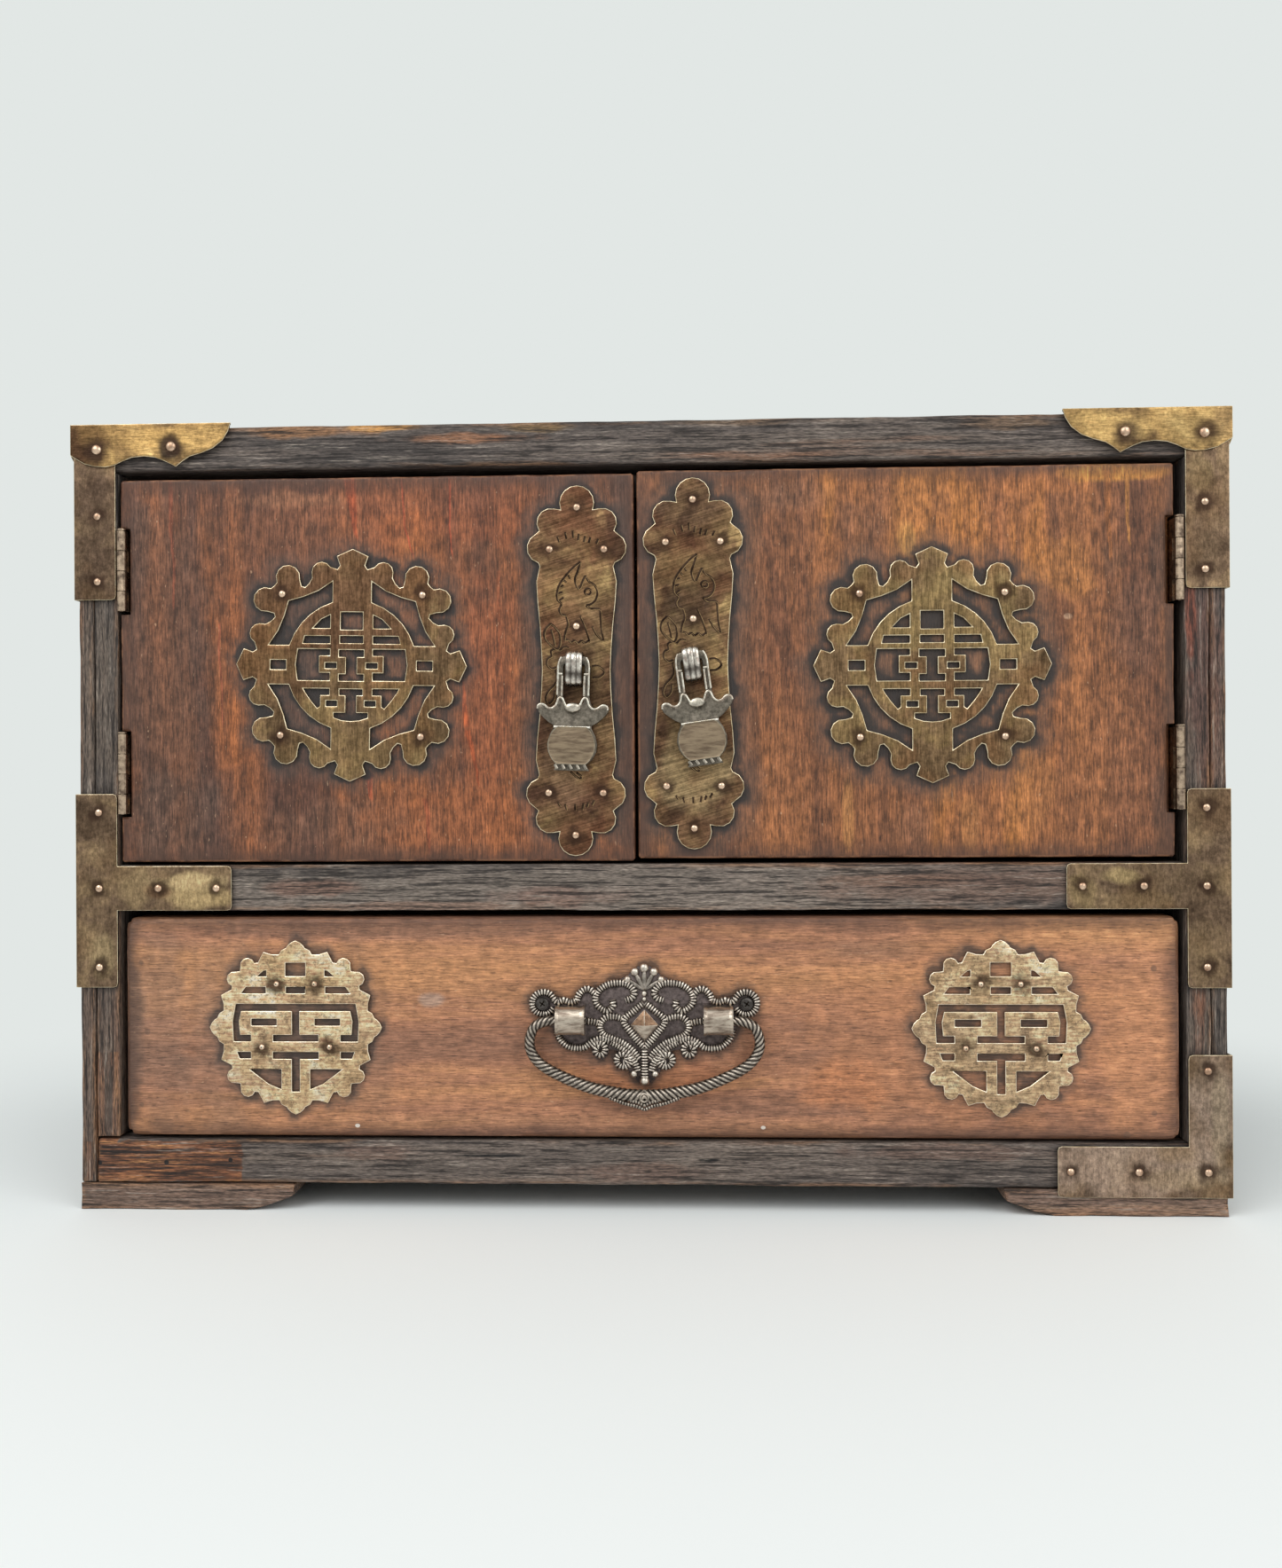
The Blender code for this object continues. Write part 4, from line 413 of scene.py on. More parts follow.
# Left half of the drawer pull's milled scrolls, as X and Z in millimetres
SCROLLS_MM = (
    ((-10.2, 68.4), (-10.0, 66.4), (-11.7, 64.9), (-13.6, 65.5), (-15.2, 67.1), (-15.5, 69.2), (-14.4, 71.4),
     (-11.9, 73.1), (-8.8, 73.7), (-6.0, 73.5), (-4.1, 72.4), (-3.2, 70.5), (-4.1, 68.9), (-5.9, 68.2)),
    ((-15.6, 70.2), (-17.4, 71.7), (-19.2, 71.5), (-20.8, 70.0), (-21.3, 68.4)),
    ((-21.3, 68.2), (-23.5, 67.6), (-25.6, 68.2), (-27.6, 67.6), (-29.0, 68.6)),
    ((-0.3, 67.3), (-3.4, 64.8), (-6.5, 61.6), (-3.2, 56.6), (-0.3, 53.4)),
    ((-7.2, 62.4), (-9.6, 63.0), (-12.2, 62.7), (-13.9, 61.0), (-13.9, 58.8), (-12.5, 57.0), (-9.6, 55.8),
     (-6.6, 54.5), (-3.7, 52.2), (-1.6, 49.6)),
    ((-14.2, 60.8), (-16.4, 61.4), (-18.4, 61.6)),
    ((-28.1, 58.8), (-26.9, 55.7), (-24.6, 53.6), (-21.8, 52.9), (-19.1, 53.2), (-17.6, 54.2), (-15.9, 55.4),
     (-13.6, 56.0), (-11.2, 55.3)),
    ((-10.6, 54.8), (-7.7, 53.3), (-4.9, 51.0), (-3.0, 48.4), (-2.1, 45.6)),
)
SCROLL_CURLS_MM = (
    (-32.1, 67.2, 3.6, 3.5, 25, 310), (-14.4, 52.4, 2.4, 0.8, 150, -430), (-6.9, 49.4, 2.9, 0.9, 70, -520),
)
SCROLL_RADIUS = 0.00134
SCROLL_PITCH = 0.00090
SCROLL_FLAT = 0.65
STEM_MM = ((0, 53.0), (0, 47.5), (0, 43.6))
STEM_BEADS_MM = ((0, 42.6, 1.6), (-3.4, 44.8, 1.2), (3.4, 44.8, 1.2), (0, 70.4, 0.9), (0, 68.6, 0.7))
SHELL_LOBES_MM = ((0, 78.4, 1.5), (-3.0, 77.2, 1.4), (3.0, 77.2, 1.4), (-5.3, 74.8, 1.2), (5.3, 74.8, 1.2))
SHELL_ROOT_MM = (0, 71.4)
DIAMOND_MM = (0, 60.2, 4.6, 5.1, 1.7)
SADDLE_MM = (18.8, 28.0, 62.0, 4.45, 3.45)
SADDLE_RIM = 0.00025
SADDLE_SINK = 0.0004
SADDLE_RIM_SHARE = 0.09
SADDLE_ROWS = 26
SADDLE_STEPS = 16
PLATE_FACE_OUT = 0.0017
PLATE_EDGE = 0.00015
DIAMOND_EDGE = 0.00012
SCROLL_LIFT = 0.0002
STEM_LIFT = 0.0004
BEAD_LIFT = 0.0003
SHELL_RIB_SHARE = 0.62
SHELL_RIB_RISE = 0.0009
SHELL_TIP_RISE = 0.0012

# Right half of the bail's centre line, in millimetres, from its middle to its end
BAIL_MM = (
    (0, 38.2), (5.5, 38.5), (10.9, 39.5), (16.4, 40.7), (21.5, 42.4), (26.0, 44.3), (29.8, 46.2),
    (32.9, 48.3), (35.1, 50.8), (36.2, 53.4), (36.3, 56.0), (35.6, 58.6), (34.1, 60.6), (30.0, 62.0),
    (24.0, 62.0), (18.5, 62.0),
)
BAIL_KNOT_MM = (((11.0, 38.0), (6.5, 36.3), (2.6, 35.4), (0, 34.3)), ((4.4, 37.0), (2.0, 36.6), (0, 35.6)))
BAIL_RADIUS = 0.0017
BAIL_SWELL = 0.0006
BAIL_FLUTES = 5
BAIL_TWIST = 0.0085
BAIL_STRAIGHT = 0.0110
BAIL_END_SHARE = 0.9
KNOT_STRAND = (0.00065, 0.0009)
KNOT_LIFT = 0.0013
KNOT_STEP = 0.0002
KNOT_RING_MM = (0, 38.2, 1.3)
KNOT_RING_RADIUS = 0.0004
KNOT_RING_LIFT = 0.0021

# The screws of the drawer pull: dome, and the two arms of the cross slot
SCREW_DOME = (0.0019, 0.0005, 0.0019)
SCREW_DOME_SINK = 0.0002
SCREW_SLOT = (0.0020, 0.0001, 0.00045)
SCREW_SLOT_LIFT = 0.00028
SCREW_TURN = 0.6

# A grey that an overlay leaves as it is, and the ones that darken and lighten
NEUTRAL = "bcbcbc"
DARKER = "7c7c7c"
LIGHTER = "e8e8e8"


def tone(code):
    """A colour written as six hexadecimal digits, as the linear values that shaders take."""
    channels = [int(code[start:start + 2], 16) / 255 for start in (0, 2, 4)]
    return (*(c / 12.92 if c <= 0.04045 else ((c + 0.055) / 1.055) ** 2.4 for c in channels), 1)


def along(axis, share):
    """Noise coordinates drawn out along one axis, as grain or brushing runs."""
    return tuple(share if number == axis else 1.0 for number in range(3))


class Finish:
    """A Principled material, and short calls for the nodes behind it."""

    def __init__(self, name, roughness, metallic=0.0):
        self.material = bpy.data.materials.new(name)
        self.material.use_nodes = True
        self.tree = self.material.node_tree
        self.shader = self.tree.nodes["Principled BSDF"]
        self.shader.inputs["Roughness"].default_value = roughness
        self.shader.inputs["Metallic"].default_value = metallic
        self.place = self.add("TexCoord").outputs["Object"]
        self.split = self.add("SeparateXYZ", {0: self.place}).outputs
        self.grains = {}

    def feed(self, socket, value):
        """Links a socket to another one, or sets its value."""
        if isinstance(value, bpy.types.NodeSocket):
            self.tree.links.new(value, socket)
        else:
            socket.default_value = value

    def add(self, kind, inputs=(), **settings):
        """A node of one kind, with its settings and its inputs."""
        node = self.tree.nodes.new("ShaderNode" + kind)
        for name, value in settings.items():
            setattr(node, name, value)
        for key, value in dict(inputs).items():
            self.feed(node.inputs[key], value)
        return node

    def maths(self, operation, first, second=0.0, clamp=True):
        """A sum of two values, kept between 0 and 1 unless it says not to."""
        return self.add("Math", {0: first, 1: second}, operation=operation, use_clamp=clamp).outputs[0]

    def reckon(self, operation, first, second=0.0):
        """A sum of two values, as it comes out."""
        return self.maths(operation, first, second, clamp=False)

    def ease(self, value, low, high, start=0.0, end=1.0):
        """Turns a value between two limits smoothly into one between two others."""
        inputs = {"Value": value, "From Min": low, "From Max": high, "To Min": start, "To Max": end}
        return self.add("MapRange", inputs, interpolation_type="SMOOTHSTEP").outputs[0]

    def grain(self, stretch, scale, detail=2.0, roughness=0.5, distortion=0.0, turn=0.0):
        """Noise that is drawn out along the axes where the stretch is small, made once for like calls."""
        key = (stretch, scale, detail, roughness, distortion, turn)
        if key not in self.grains:
            place = self.place
            if turn:
                inputs = {"Vector": place, "Angle": turn}
                place = self.add("VectorRotate", inputs, rotation_type="Y_AXIS").outputs[0]
            mapped = self.add("VectorMath", {0: place, 1: stretch}, operation="MULTIPLY").outputs[0]
            inputs = {
                "Vector": mapped, "Scale": scale, "Detail": detail, "Roughness": roughness,
                "Distortion": distortion,
            }
            self.grains[key] = self.add("TexNoise", inputs).outputs[0]
        return self.grains[key]

    def pattern(self, name, axis=0):
        """The noise that a table names, drawn out along an axis."""
        share, *rest = GRAINS[name]
        return self.grain(along(axis, share), *rest)

    def ramp(self, value, stops):
        """Colours at places along a value."""
        node = self.add("ValToRGB", {0: value})
        elements = node.color_ramp.elements
        while len(elements) < len(stops):
            elements.new(0.5)
        for element, (position, code) in zip(elements, stops):
            element.position = position
            element.color = tone(code)
        return node.outputs[0]

    def mix(self, share, first, second, mode="MIX"):
        """Two colours mixed by a share. A colour may be a code."""
        first, second = (tone(colour) if isinstance(colour, str) else colour for colour in (first, second))
        inputs = {0: share, 6: first, 7: second}
        return self.add("Mix", inputs, data_type="RGBA", blend_type=mode, clamp_result=True).outputs[2]

    def streaked(self, share, colour, value, low=0.36, high=0.64):
        """A colour made lighter and darker by a value."""
        shade = self.ramp(value, ((low, DARKER), (0.5, NEUTRAL), (high, LIGHTER)))
        return self.mix(share, colour, shade, "OVERLAY")

    def mark(self, name):
        """A value that the mesh carries at its points."""
        return self.add("Attribute", attribute_name=name).outputs["Fac"]

    def ragged(self, reach, scale):
        """Noise between minus and plus a reach, which makes an edge uneven."""
        return self.ease(self.grain((1, 1, 1), scale, 4), 0.2, 0.8, -reach, reach)

    def patch(self, x, z, reach_x, reach_z, soft=PATCH_SOFTNESS):
        """A soft spot on the front, 1 at its centre and 0 past its reach, given in millimetres.

        It fades with the depth behind the front too, so that it doesn't run across a board's top or flank.
        """
        centre = (x * MM, FRONT_Y, z * MM)
        moved = self.add("VectorMath", {0: self.place, 1: centre}, operation="SUBTRACT")
        inputs = {0: moved.outputs[0], 1: (1 / (reach_x * MM), 1 / PATCH_DEPTH, 1 / (reach_z * MM))}
        sized = self.add("VectorMath", inputs, operation="MULTIPLY").outputs[0]
        far = self.add("VectorMath", {0: sized}, operation="LENGTH").outputs["Value"]
        far = self.reckon("ADD", far, self.ragged(*PATCH_WANDER))
        return self.ease(far, 1 - soft, 1 + soft / 2, 1.0, 0.0)

    def patches(self, colour, table):
        """A colour with the patches of a table over it."""
        for x, z, reach_x, reach_z, strength, code in table:
            spot = self.patch(x, z, reach_x, reach_z)
            colour = self.mix(self.maths("MULTIPLY", spot, strength), colour, code)
        return colour

    def streaks(self, colour, table):
        """A colour with the thin wedges of a table over it."""
        x_now, z_now = self.split["X"], self.split["Z"]
        wander = self.ease(self.pattern("streak_wander"), 0.25, 0.75, -STREAK_WANDER, STREAK_WANDER)
        x_now = self.reckon("ADD", x_now, wander)
        for top_x, top_z, foot_x, foot_z, top_half, foot_half, strength, code in table:
            limits = {"Value": z_now, "From Min": foot_z * MM, "From Max": top_z * MM}
            middle, half = (
                self.add("MapRange", {**limits, "To Min": foot * MM, "To Max": top * MM}).outputs[0]
                for foot, top in ((foot_x, top_x), (foot_half, top_half))
            )
            aside = self.reckon("SUBTRACT", x_now, middle)
            share = self.reckon("DIVIDE", self.reckon("ABSOLUTE", aside), half)
            inside = self.ease(share, 0.5, 1.1, 1, 0)
            inside = self.maths("MULTIPLY", inside, self.ease(z_now, foot_z * MM, (foot_z + 3) * MM))
            inside = self.maths("MULTIPLY", inside, self.ease(z_now, (top_z - 1) * MM, top_z * MM, 1, 0))
            colour = self.mix(self.maths("MULTIPLY", inside, strength), colour, code)
        return colour

    def boxes(self, table):
        """1 inside any of the boxes on the front, given as X and Z in millimetres, and 0 outside."""
        shake = self.ragged(*BOX_WANDER)
        across = self.reckon("ADD", self.split["X"], shake)
        up = self.reckon("ADD", self.split["Z"], shake)
        total = 0.0
        for left, right, low, high in table:
            inside = 1.0
            for place, start, end in ((across, left * MM, right * MM), (up, low * MM, high * MM)):
                inside = self.maths("MULTIPLY", inside, self.ease(place, start, start + BOX_FADE))
                inside = self.maths("MULTIPLY", inside, self.ease(place, end - BOX_FADE, end, 1, 0))
            total = self.maths("MAXIMUM", inside, total)
        return total

    def colour(self, value):
        """Sets the base colour."""
        self.feed(self.shader.inputs["Base Color"], value)

    def roughness(self, value):
        """Sets the roughness."""
        self.feed(self.shader.inputs["Roughness"], value)

    def gloss(self, value):
        """Sets how strongly a surface that isn't metal mirrors its surroundings."""
        self.shader.inputs["Specular IOR Level"].default_value = value

    def bump(self, height, distance, strength=1.0):
        """Raises the surface by a height between 0 and 1."""
        before = self.shader.inputs["Normal"].links
        inputs = {"Height": height, "Distance": distance, "Strength": strength}
        if before:
            inputs["Normal"] = before[0].from_socket
        self.feed(self.shader.inputs["Normal"], self.add("Bump", inputs).outputs[0])


def dark_wood(name, axis, tints, patches=(), bare=(), strip=1.0):
    """Charcoal stain over brushed softwood, rubbed on its edges, with painted shade close round the corner
    metal.

    Bare gives boxes where the stain is gone, and strip is how fully it is.
    """
    made = Finish(name, 0.5)
    made.gloss(0.3)
    colour = made.patches(made.ramp(made.pattern("board_tone", axis), tints), patches)
    lines = made.pattern("board_lines", axis)
    fine = made.pattern("board_fibres", axis)
    if bare:
        raw = made.ramp(made.pattern("board_bare", axis), (
            (0.40, "2c1f1a"), (0.48, "583a2b"), (0.56, "835338"), (0.66, "b07c50"),
        ))
        colour = made.mix(made.maths("MULTIPLY", made.boxes(bare), strip), colour, raw)
        for x, z in LOST_NAILS_MM:
            colour = made.mix(made.patch(x, z, *HOLE_REACH_MM, HOLE_SOFTNESS), colour, "120c0a")
    rub = made.ease(made.pattern("board_rub", axis), 0.47, 0.60)
    rubbed = made.maths("MULTIPLY", rub, made.ease(made.mark("edge"), *BOARD_RUB, 1, 0))
    colour = made.mix(made.maths("MULTIPLY", rubbed, 0.45), colour, "966b48")
    # Painted shade: the boards darken close round the caps, straps and brackets.
    colour = made.mix(made.ease(made.mark("near"), *BOARD_PAINTED_SHADE, 0.6, 0), colour, "2c2624")
    colour = made.mix(made.ease(lines, 0.49, 0.40, 0, 0.85), colour, "211b19")
    colour = made.mix(made.ease(lines, 0.57, 0.68, 0, 0.55), colour, "a3968a")
    colour = made.streaked(0.7, colour, fine)
    made.colour(colour)
    made.roughness(made.ease(lines, 0.3, 0.7, 0.62, 0.42))
    made.bump(lines, BOARD_GROOVES)
    made.bump(fine, BOARD_FIBRES)
    return made.material


def stained_wood(name, axis, stops, patches, streaks, stain_and_shade_reach, calm=1.0):
    """Reddish stain on a closed grain, with patches and streaks, and painted shade that darkens the wood
    round the fittings.

    Calm is the share of its full contrast that the grain has.
    """
    made = Finish(name, 0.46)
    made.gloss(0.35)
    colour = made.patches(made.ramp(made.pattern("door_tone", axis), stops), patches)
    colour = made.streaks(colour, streaks)
    for layer, share in (("door_mottle", 0.60), ("door_bands", 0.30), ("door_fibres", 0.80)):
        colour = made.streaked(share * calm, colour, made.pattern(layer, axis))
    pores = made.ease(made.pattern("door_pores", axis), 0.37, 0.31, 0, 0.45)
    colour = made.mix(pores, colour, "2c1a14")
    flecks = made.ease(made.pattern("door_flecks", axis), 0.74, 0.80, 0, 0.45)
    colour = made.mix(flecks, colour, "d0a684")
    # Painted shade: the wood darkens round the medallions, plates and backplate, most in a narrow band close
    # beside them.
    near = made.reckon("ADD", made.mark("near"), made.ragged(*PAINTED_SHADE_WANDER))
    colour = made.mix(made.ease(near, stain_and_shade_reach * 0.15, stain_and_shade_reach, 0.50, 0), colour, "4b423d")
    colour = made.mix(made.ease(near, stain_and_shade_reach * 0.06, stain_and_shade_reach * 0.34, 0.90 * calm, 0), colour, "2c2827")
    worn = made.mark("edge")
    dim = made.reckon("ADD", worn, made.ragged(*DIM_WANDER))
    colour = made.mix(made.ease(dim, *DOOR_DIM, 0.70, 0), colour, "4c352b")
    rub = made.ease(made.pattern("door_rub"), 0.44, 0.60)
    rubbed = made.maths("MULTIPLY", rub, made.ease(worn, *DOOR_RUB, 1, 0))
    colour = made.mix(made.maths("MULTIPLY", rubbed, 0.5), colour, "b07c5a")
    made.colour(colour)
    fibres = made.pattern("door_fibres", axis)
    made.roughness(made.ease(fibres, 0.3, 0.7, 0.55, 0.40))
    made.bump(fibres, DOOR_FIBRES)
    made.bump(made.pattern("door_waves"), DOOR_WAVES, 0.5)
    return made


def drawer_wood(name, stops):
    """The drawer front's lighter stain, with small nails and chips."""
    made = stained_wood(name, 0, stops, DRAWER_PATCHES_MM, (), DRAWER_PAINTED_SHADE, 0.62)
    colour = made.shader.inputs["Base Color"].links[0].from_socket
    for x, z in DRAWER_SPOTS_MM:
        spot = made.patch(x, z, *SPOT_REACH_MM, SPOT_SOFTNESS)
        colour = made.mix(made.maths("MULTIPLY", spot, 0.6), colour, "5f483b")
    for x, z in DRAWER_CHIPS_MM:
        colour = made.mix(made.patch(x, z, *CHIP_REACH_MM, HOLE_SOFTNESS), colour, "cfc4b8")
    made.colour(colour)
    return made


def raw_wood(name, axis):
    """Unstained inner boards, gone brown with age."""
    made = Finish(name, 0.66)
    made.gloss(0.3)
    colour = made.ramp(made.pattern("raw_tone", axis), ((0.32, "8d6a4b"), (0.50, "a98460"), (0.68, "bd9b74")))
    fibres = made.pattern("raw_fibres", axis)
    colour = made.streaked(0.6, colour, fibres)
    colour = made.mix(made.ease(made.mark("edge"), *RAW_DIM, 0.35, 0), colour, "6b4d38")
    made.colour(colour)
    made.roughness(made.ease(fibres, 0.3, 0.7, 0.74, 0.58))
    made.bump(fibres, RAW_FIBRES)
    return made.material


def sheet_brass(
    name, stops, brushing, stain, patches=(), turn=0.0, speckle=0.0, polish=1.0, stain_and_shade_reach=SHEET_GRIME,
):
    """Aged sheet brass: clouded tones, fine brushing, and dark stains that spread from its nails.

    Polish is the share of its full contrast that the brushing has, and the last argument how far the stains
    reach.
    """
    made = Finish(name, 0.42, 1.0)
    cloud = made.pattern("brass_tone")
    colour = made.patches(made.ramp(cloud, stops), patches)
    share, code = stain
    colour = made.mix(made.ease(made.pattern("brass_stain"), 0.48, 0.62, 0, share), colour, code)
    brushed = made.grain(brushing, *BRUSHING, turn)
    colour = made.streaked(0.55 * polish, colour, brushed)
    colour = made.streaked(0.40 * polish, colour, made.grain(brushing, *WIDE_BRUSHING, turn))
    colour = made.streaked(0.45, colour, made.pattern("brass_grit"))
    if speckle:
        spots = made.ease(made.pattern("brass_speckle"), 0.53, 0.60, 0, speckle)
        colour = made.mix(spots, colour, "5e5044")
    near = made.reckon("ADD", made.mark("near"), made.ragged(*STAIN_WANDER))
    colour = made.mix(made.ease(near, STAIN_FROM, stain_and_shade_reach, 0.85, 0), colour, "3a2a22")
    made.colour(colour)
    made.roughness(made.ease(cloud, 0.3, 0.7, 0.52, 0.36))
    made.bump(brushed, BRUSH_DEPTH)
    made.bump(made.pattern("brass_dents"), METAL_DENTS, 0.6)
    return made.material


def plain_metal(name, code, dark_code, roughness, scale=420, brushing=(1, 1, 1)):
    """Plain metal with a light clouding."""
    made = Finish(name, roughness, 1.0)
    cloud = made.grain(brushing, scale, 4, 0.6)
    made.colour(made.ramp(cloud, ((0.34, dark_code), (0.60, code))))
    made.roughness(made.ease(cloud, 0.3, 0.7, roughness + 0.1, roughness - 0.06))
    made.bump(cloud, METAL_CLOUDS)
    return made.material


def cast_pewter(name, dark_code, light_code, roughness=0.42):
    """A dark casting whose raised ribs are rubbed bright. The mesh says how high each point stands."""
    made = Finish(name, roughness, 1.0)
    cloud = made.pattern("cast_tone")
    shade = made.ease(made.mark("crest"), 0.15, 0.85)
    made.colour(made.streaked(0.7, made.mix(shade, dark_code, light_code), cloud))
    made.roughness(made.ease(shade, 0.0, 1.0, roughness + 0.12, roughness - 0.08))
    made.bump(cloud, METAL_DENTS)
    return made.material


def plastic_finish():
    """The magnetic catch's brown plastic case."""
    made = Finish("catch_plastic_brown", 0.45)
    cloud = made.pattern("plastic_tone")
    made.colour(made.ramp(cloud, ((0.3, "3a2a22"), (0.7, "4a372c"))))
    made.bump(cloud, METAL_DENTS)
    return made.material


def make_finishes():
    """Every material of the chest, by name."""
    rail = ((0.38, "403936"), (0.46, "5a504b"), (0.55, "685c54"), (0.64, "755644"))
    stile = ((0.38, "423c39"), (0.46, "584f49"), (0.55, "66584e"), (0.64, "684c3e"))
    foot = ((0.38, "5d4b41"), (0.46, "796154"), (0.55, "8a6f5c"), (0.64, "906a55"))
    left_door = ((0.38, "57382b"), (0.47, "71462f"), (0.55, "814d2f"), (0.64, "955832"))
    right_door = ((0.38, "69422d"), (0.47, "825234"), (0.55, "905a35"), (0.64, "a36733"))
    drawer = ((0.38, "8c624c"), (0.47, "a27054"), (0.55, "ae7a56"), (0.64, "b9835a"))
    olive = ((0.36, "624e39"), (0.46, "775f46"), (0.56, "876e4c"), (0.68, "977f59"))
    brown = ((0.38, "4f3a2d"), (0.46, "6c523c"), (0.55, "82674a"), (0.64, "a88b60"))
    strap = ((0.36, "574638"), (0.46, "715c4a"), (0.55, "826b53"), (0.66, "997f60"))
    gold = ((0.36, "68523a"), (0.46, "8a6f4a"), (0.55, "a58556"), (0.66, "c4a36c"))
    pale = ((0.34, "8f765e"), (0.44, "c0a280"), (0.56, "dfc49e"), (0.70, "f4e2c8"))
    return {
        "rail": dark_wood("dark_wood_across", 0, rail, RAIL_PATCHES_MM, LOST_ELBOW_MM),
        "stile": dark_wood("dark_wood_upright", 2, stile, STILE_PATCHES_MM, LOST_ELBOW_MM, 0.45),
        "foot": dark_wood("dark_wood_foot", 0, foot),
        "left_door": stained_wood(
            "red_wood_left", 2, left_door, LEFT_DOOR_PATCHES_MM, LEFT_DOOR_STREAKS_MM, LEFT_DOOR_PAINTED_SHADE,
        ).material,
        "right_door": stained_wood(
            "red_wood_right", 2, right_door, RIGHT_DOOR_PATCHES_MM, RIGHT_DOOR_STREAKS_MM,
            RIGHT_DOOR_PAINTED_SHADE,
        ).material,
        "drawer": drawer_wood("red_wood_drawer", drawer).material,
        "raw_x": raw_wood("raw_wood_across", 0),
        "raw_y": raw_wood("raw_wood_deep", 1),
        "medallion": sheet_brass(
            "aged_brass_fret", olive, along(2, 0.10), (0.6, "76553a"), MEDALLION_PATCHES_MM,
        ),
        "plate": sheet_brass(
            "aged_brass_plate", brown, along(0, 0.05), (0.5, "6c4734"), PLATE_PATCHES_MM, math.radians(17),
        ),
        "bracket": sheet_brass(
            "aged_brass_bracket", strap, along(2, 0.25), (0.4, "6a5038"), BRACKET_PATCHES_MM, polish=0.6,
        ),
        "cap": sheet_brass(
            "aged_brass_cap", gold, along(0, 0.15), (0.5, "8a6c45"), CAP_PATCHES_MM,
            polish=0.7, stain_and_shade_reach=CAP_GRIME,
        ),
        "drawer_fret": sheet_brass(
            "pale_brass_fret", pale, along(0, 0.12), (0.4, "a8875f"), FRET_PATCHES_MM,
            speckle=0.5, stain_and_shade_reach=FRET_GRIME,
        ),
        # Bright metals for the rolled rims of the sheets: painted highlights.
        "brass_rim_highlight": plain_metal("aged_brass_rim_highlight", "f0e0c0", "b8a27e", 0.34),
        "engraved": plain_metal("aged_brass_groove", "4a3a2e", "2b211b", 0.6),
        # A painted highlight beside each engraved line.
        "groove_highlight": plain_metal("aged_brass_groove_highlight", "b0926a", "6a543c", 0.40),
        "pale_rim_highlight": plain_metal("pale_brass_rim_highlight", "fff2dc", "d8c4a2", 0.34),
        "nail": plain_metal("aged_brass_nail", "e0c2a8", "a07c64", 0.30),
        "hinge": plain_metal("aged_brass_hinge", "c0a890", "67574b", 0.32, 500),
        "groove": plain_metal("grey_metal_groove", "2c2620", "1c1814", 0.6),
        "bail": cast_pewter("grey_metal_bail", "3a3430", "a59a8e"),
        "field": cast_pewter("grey_metal_field", "5c5250", "7a6e6a", 0.5),
        "rope": cast_pewter("grey_metal_rope", "332d2a", "c2b7ab"),
        "hook": cast_pewter("grey_metal_hook", "4c453f", "c6bdb2", 0.30),
        "loop": cast_pewter("grey_metal_loop", "5a5248", "e0d6c6", 0.34),
        "pot": plain_metal("grey_metal_pot", "99866f", "6a5a4b", 0.42, 1100, along(0, 0.16)),
        "pot_rim": plain_metal("grey_metal_rim", "a89c88", "6e6456", 0.38),
        "saddle": plain_metal("grey_metal_saddle", "c4b6a6", "7d6e62", 0.36, 900, along(0, 0.25)),
        # A darker metal for the diamond's upper facets: painted shade.
        "shaded_facet": plain_metal("grey_metal_painted_shade", "8a6e58", "5a4538", 0.36, 700),
        "screw": plain_metal("grey_metal_screw", "5a5552", "34302d", 0.40),
        "catch": plastic_finish(),
    }


FINISHES = make_finishes()


def node_shape(node):
    """A welded copy of a solid, with its flat faces joined up."""
    shape = bmesh.new()
    shape.from_mesh(frame["nodes"][node].data)
    bmesh.ops.remove_doubles(shape, verts=shape.verts, dist=WELD)
    bmesh.ops.dissolve_limit(shape, angle_limit=FLAT_ANGLE, verts=shape.verts, edges=shape.edges)
    return shape


def slice_shape(shape, axis, places):
    """Cuts the faces along planes across one axis."""
    direction = Vector((0, 0, 0))
    direction[axis] = 1
    for place in places:
        everything = shape.verts[:] + shape.edges[:] + shape.faces[:]
        bmesh.ops.bisect_plane(
            shape, geom=everything, dist=WELD, plane_co=direction * place, plane_no=direction,
        )


def cuts_between(low, high, cell):
    """Places to cut between two ends: close together near each end and a cell apart between."""
    ends = [step * MM for step in END_SLICES_MM if step * MM < (high - low) / 2]
    made = [low + step for step in ends] + [high - step for step in ends]
    inner_low, inner_high = low + ends[-1], high - ends[-1]
    count = max(1, round((inner_high - inner_low) / cell))
    made += [inner_low + (inner_high - inner_low) * number / count for number in range(1, count)]
    return sorted(made)


def slice_evenly(shape, low, high, cells):
    """Cuts a shape into cells of a size for each axis. An axis without a size isn't cut."""
    for axis, cell in enumerate(cells):
        if cell:
            slice_shape(shape, axis, cuts_between(low[axis], high[axis], cell))


def metal_tree(nodes):
    """A search tree over the faces of some solids."""
    points, faces = [], []
    for node in nodes:
        mesh = frame["nodes"][node].data
        start = len(points)
        points += [vert.co.copy() for vert in mesh.vertices]
        faces += [tuple(start + index for index in face.vertices) for face in mesh.polygons]
    return BVHTree.FromPolygons(points, faces)


def mark_nearness(shape, measure):
    """Writes how far each point is from the metal or the nails, as measured by a function."""
    layer = shape.verts.layers.float.new("near")
    for vert in shape.verts:
        vert[layer] = min(measure(vert.co), FARTHEST)


def add_piece(name, shape, body, materials, replaced=(), smooth=True):
    """Ends a bmesh as a named piece that rides on a body."""
    bmesh.ops.recalc_face_normals(shape, faces=shape.faces)
    mesh = bpy.data.meshes.new(name)
    shape.to_mesh(mesh)
    shape.free()
    piece = bpy.data.objects.new(name, mesh)
    bpy.context.scene.collection.objects.link(piece)
    for material in materials:
        mesh.materials.append(FINISHES[material])
    if smooth:
        mesh.shade_smooth()
        mesh.set_sharp_from_angle(angle=CREASE_ANGLE)
    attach(piece, body)
    if replaced:
        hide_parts(*replaced)
    return piece


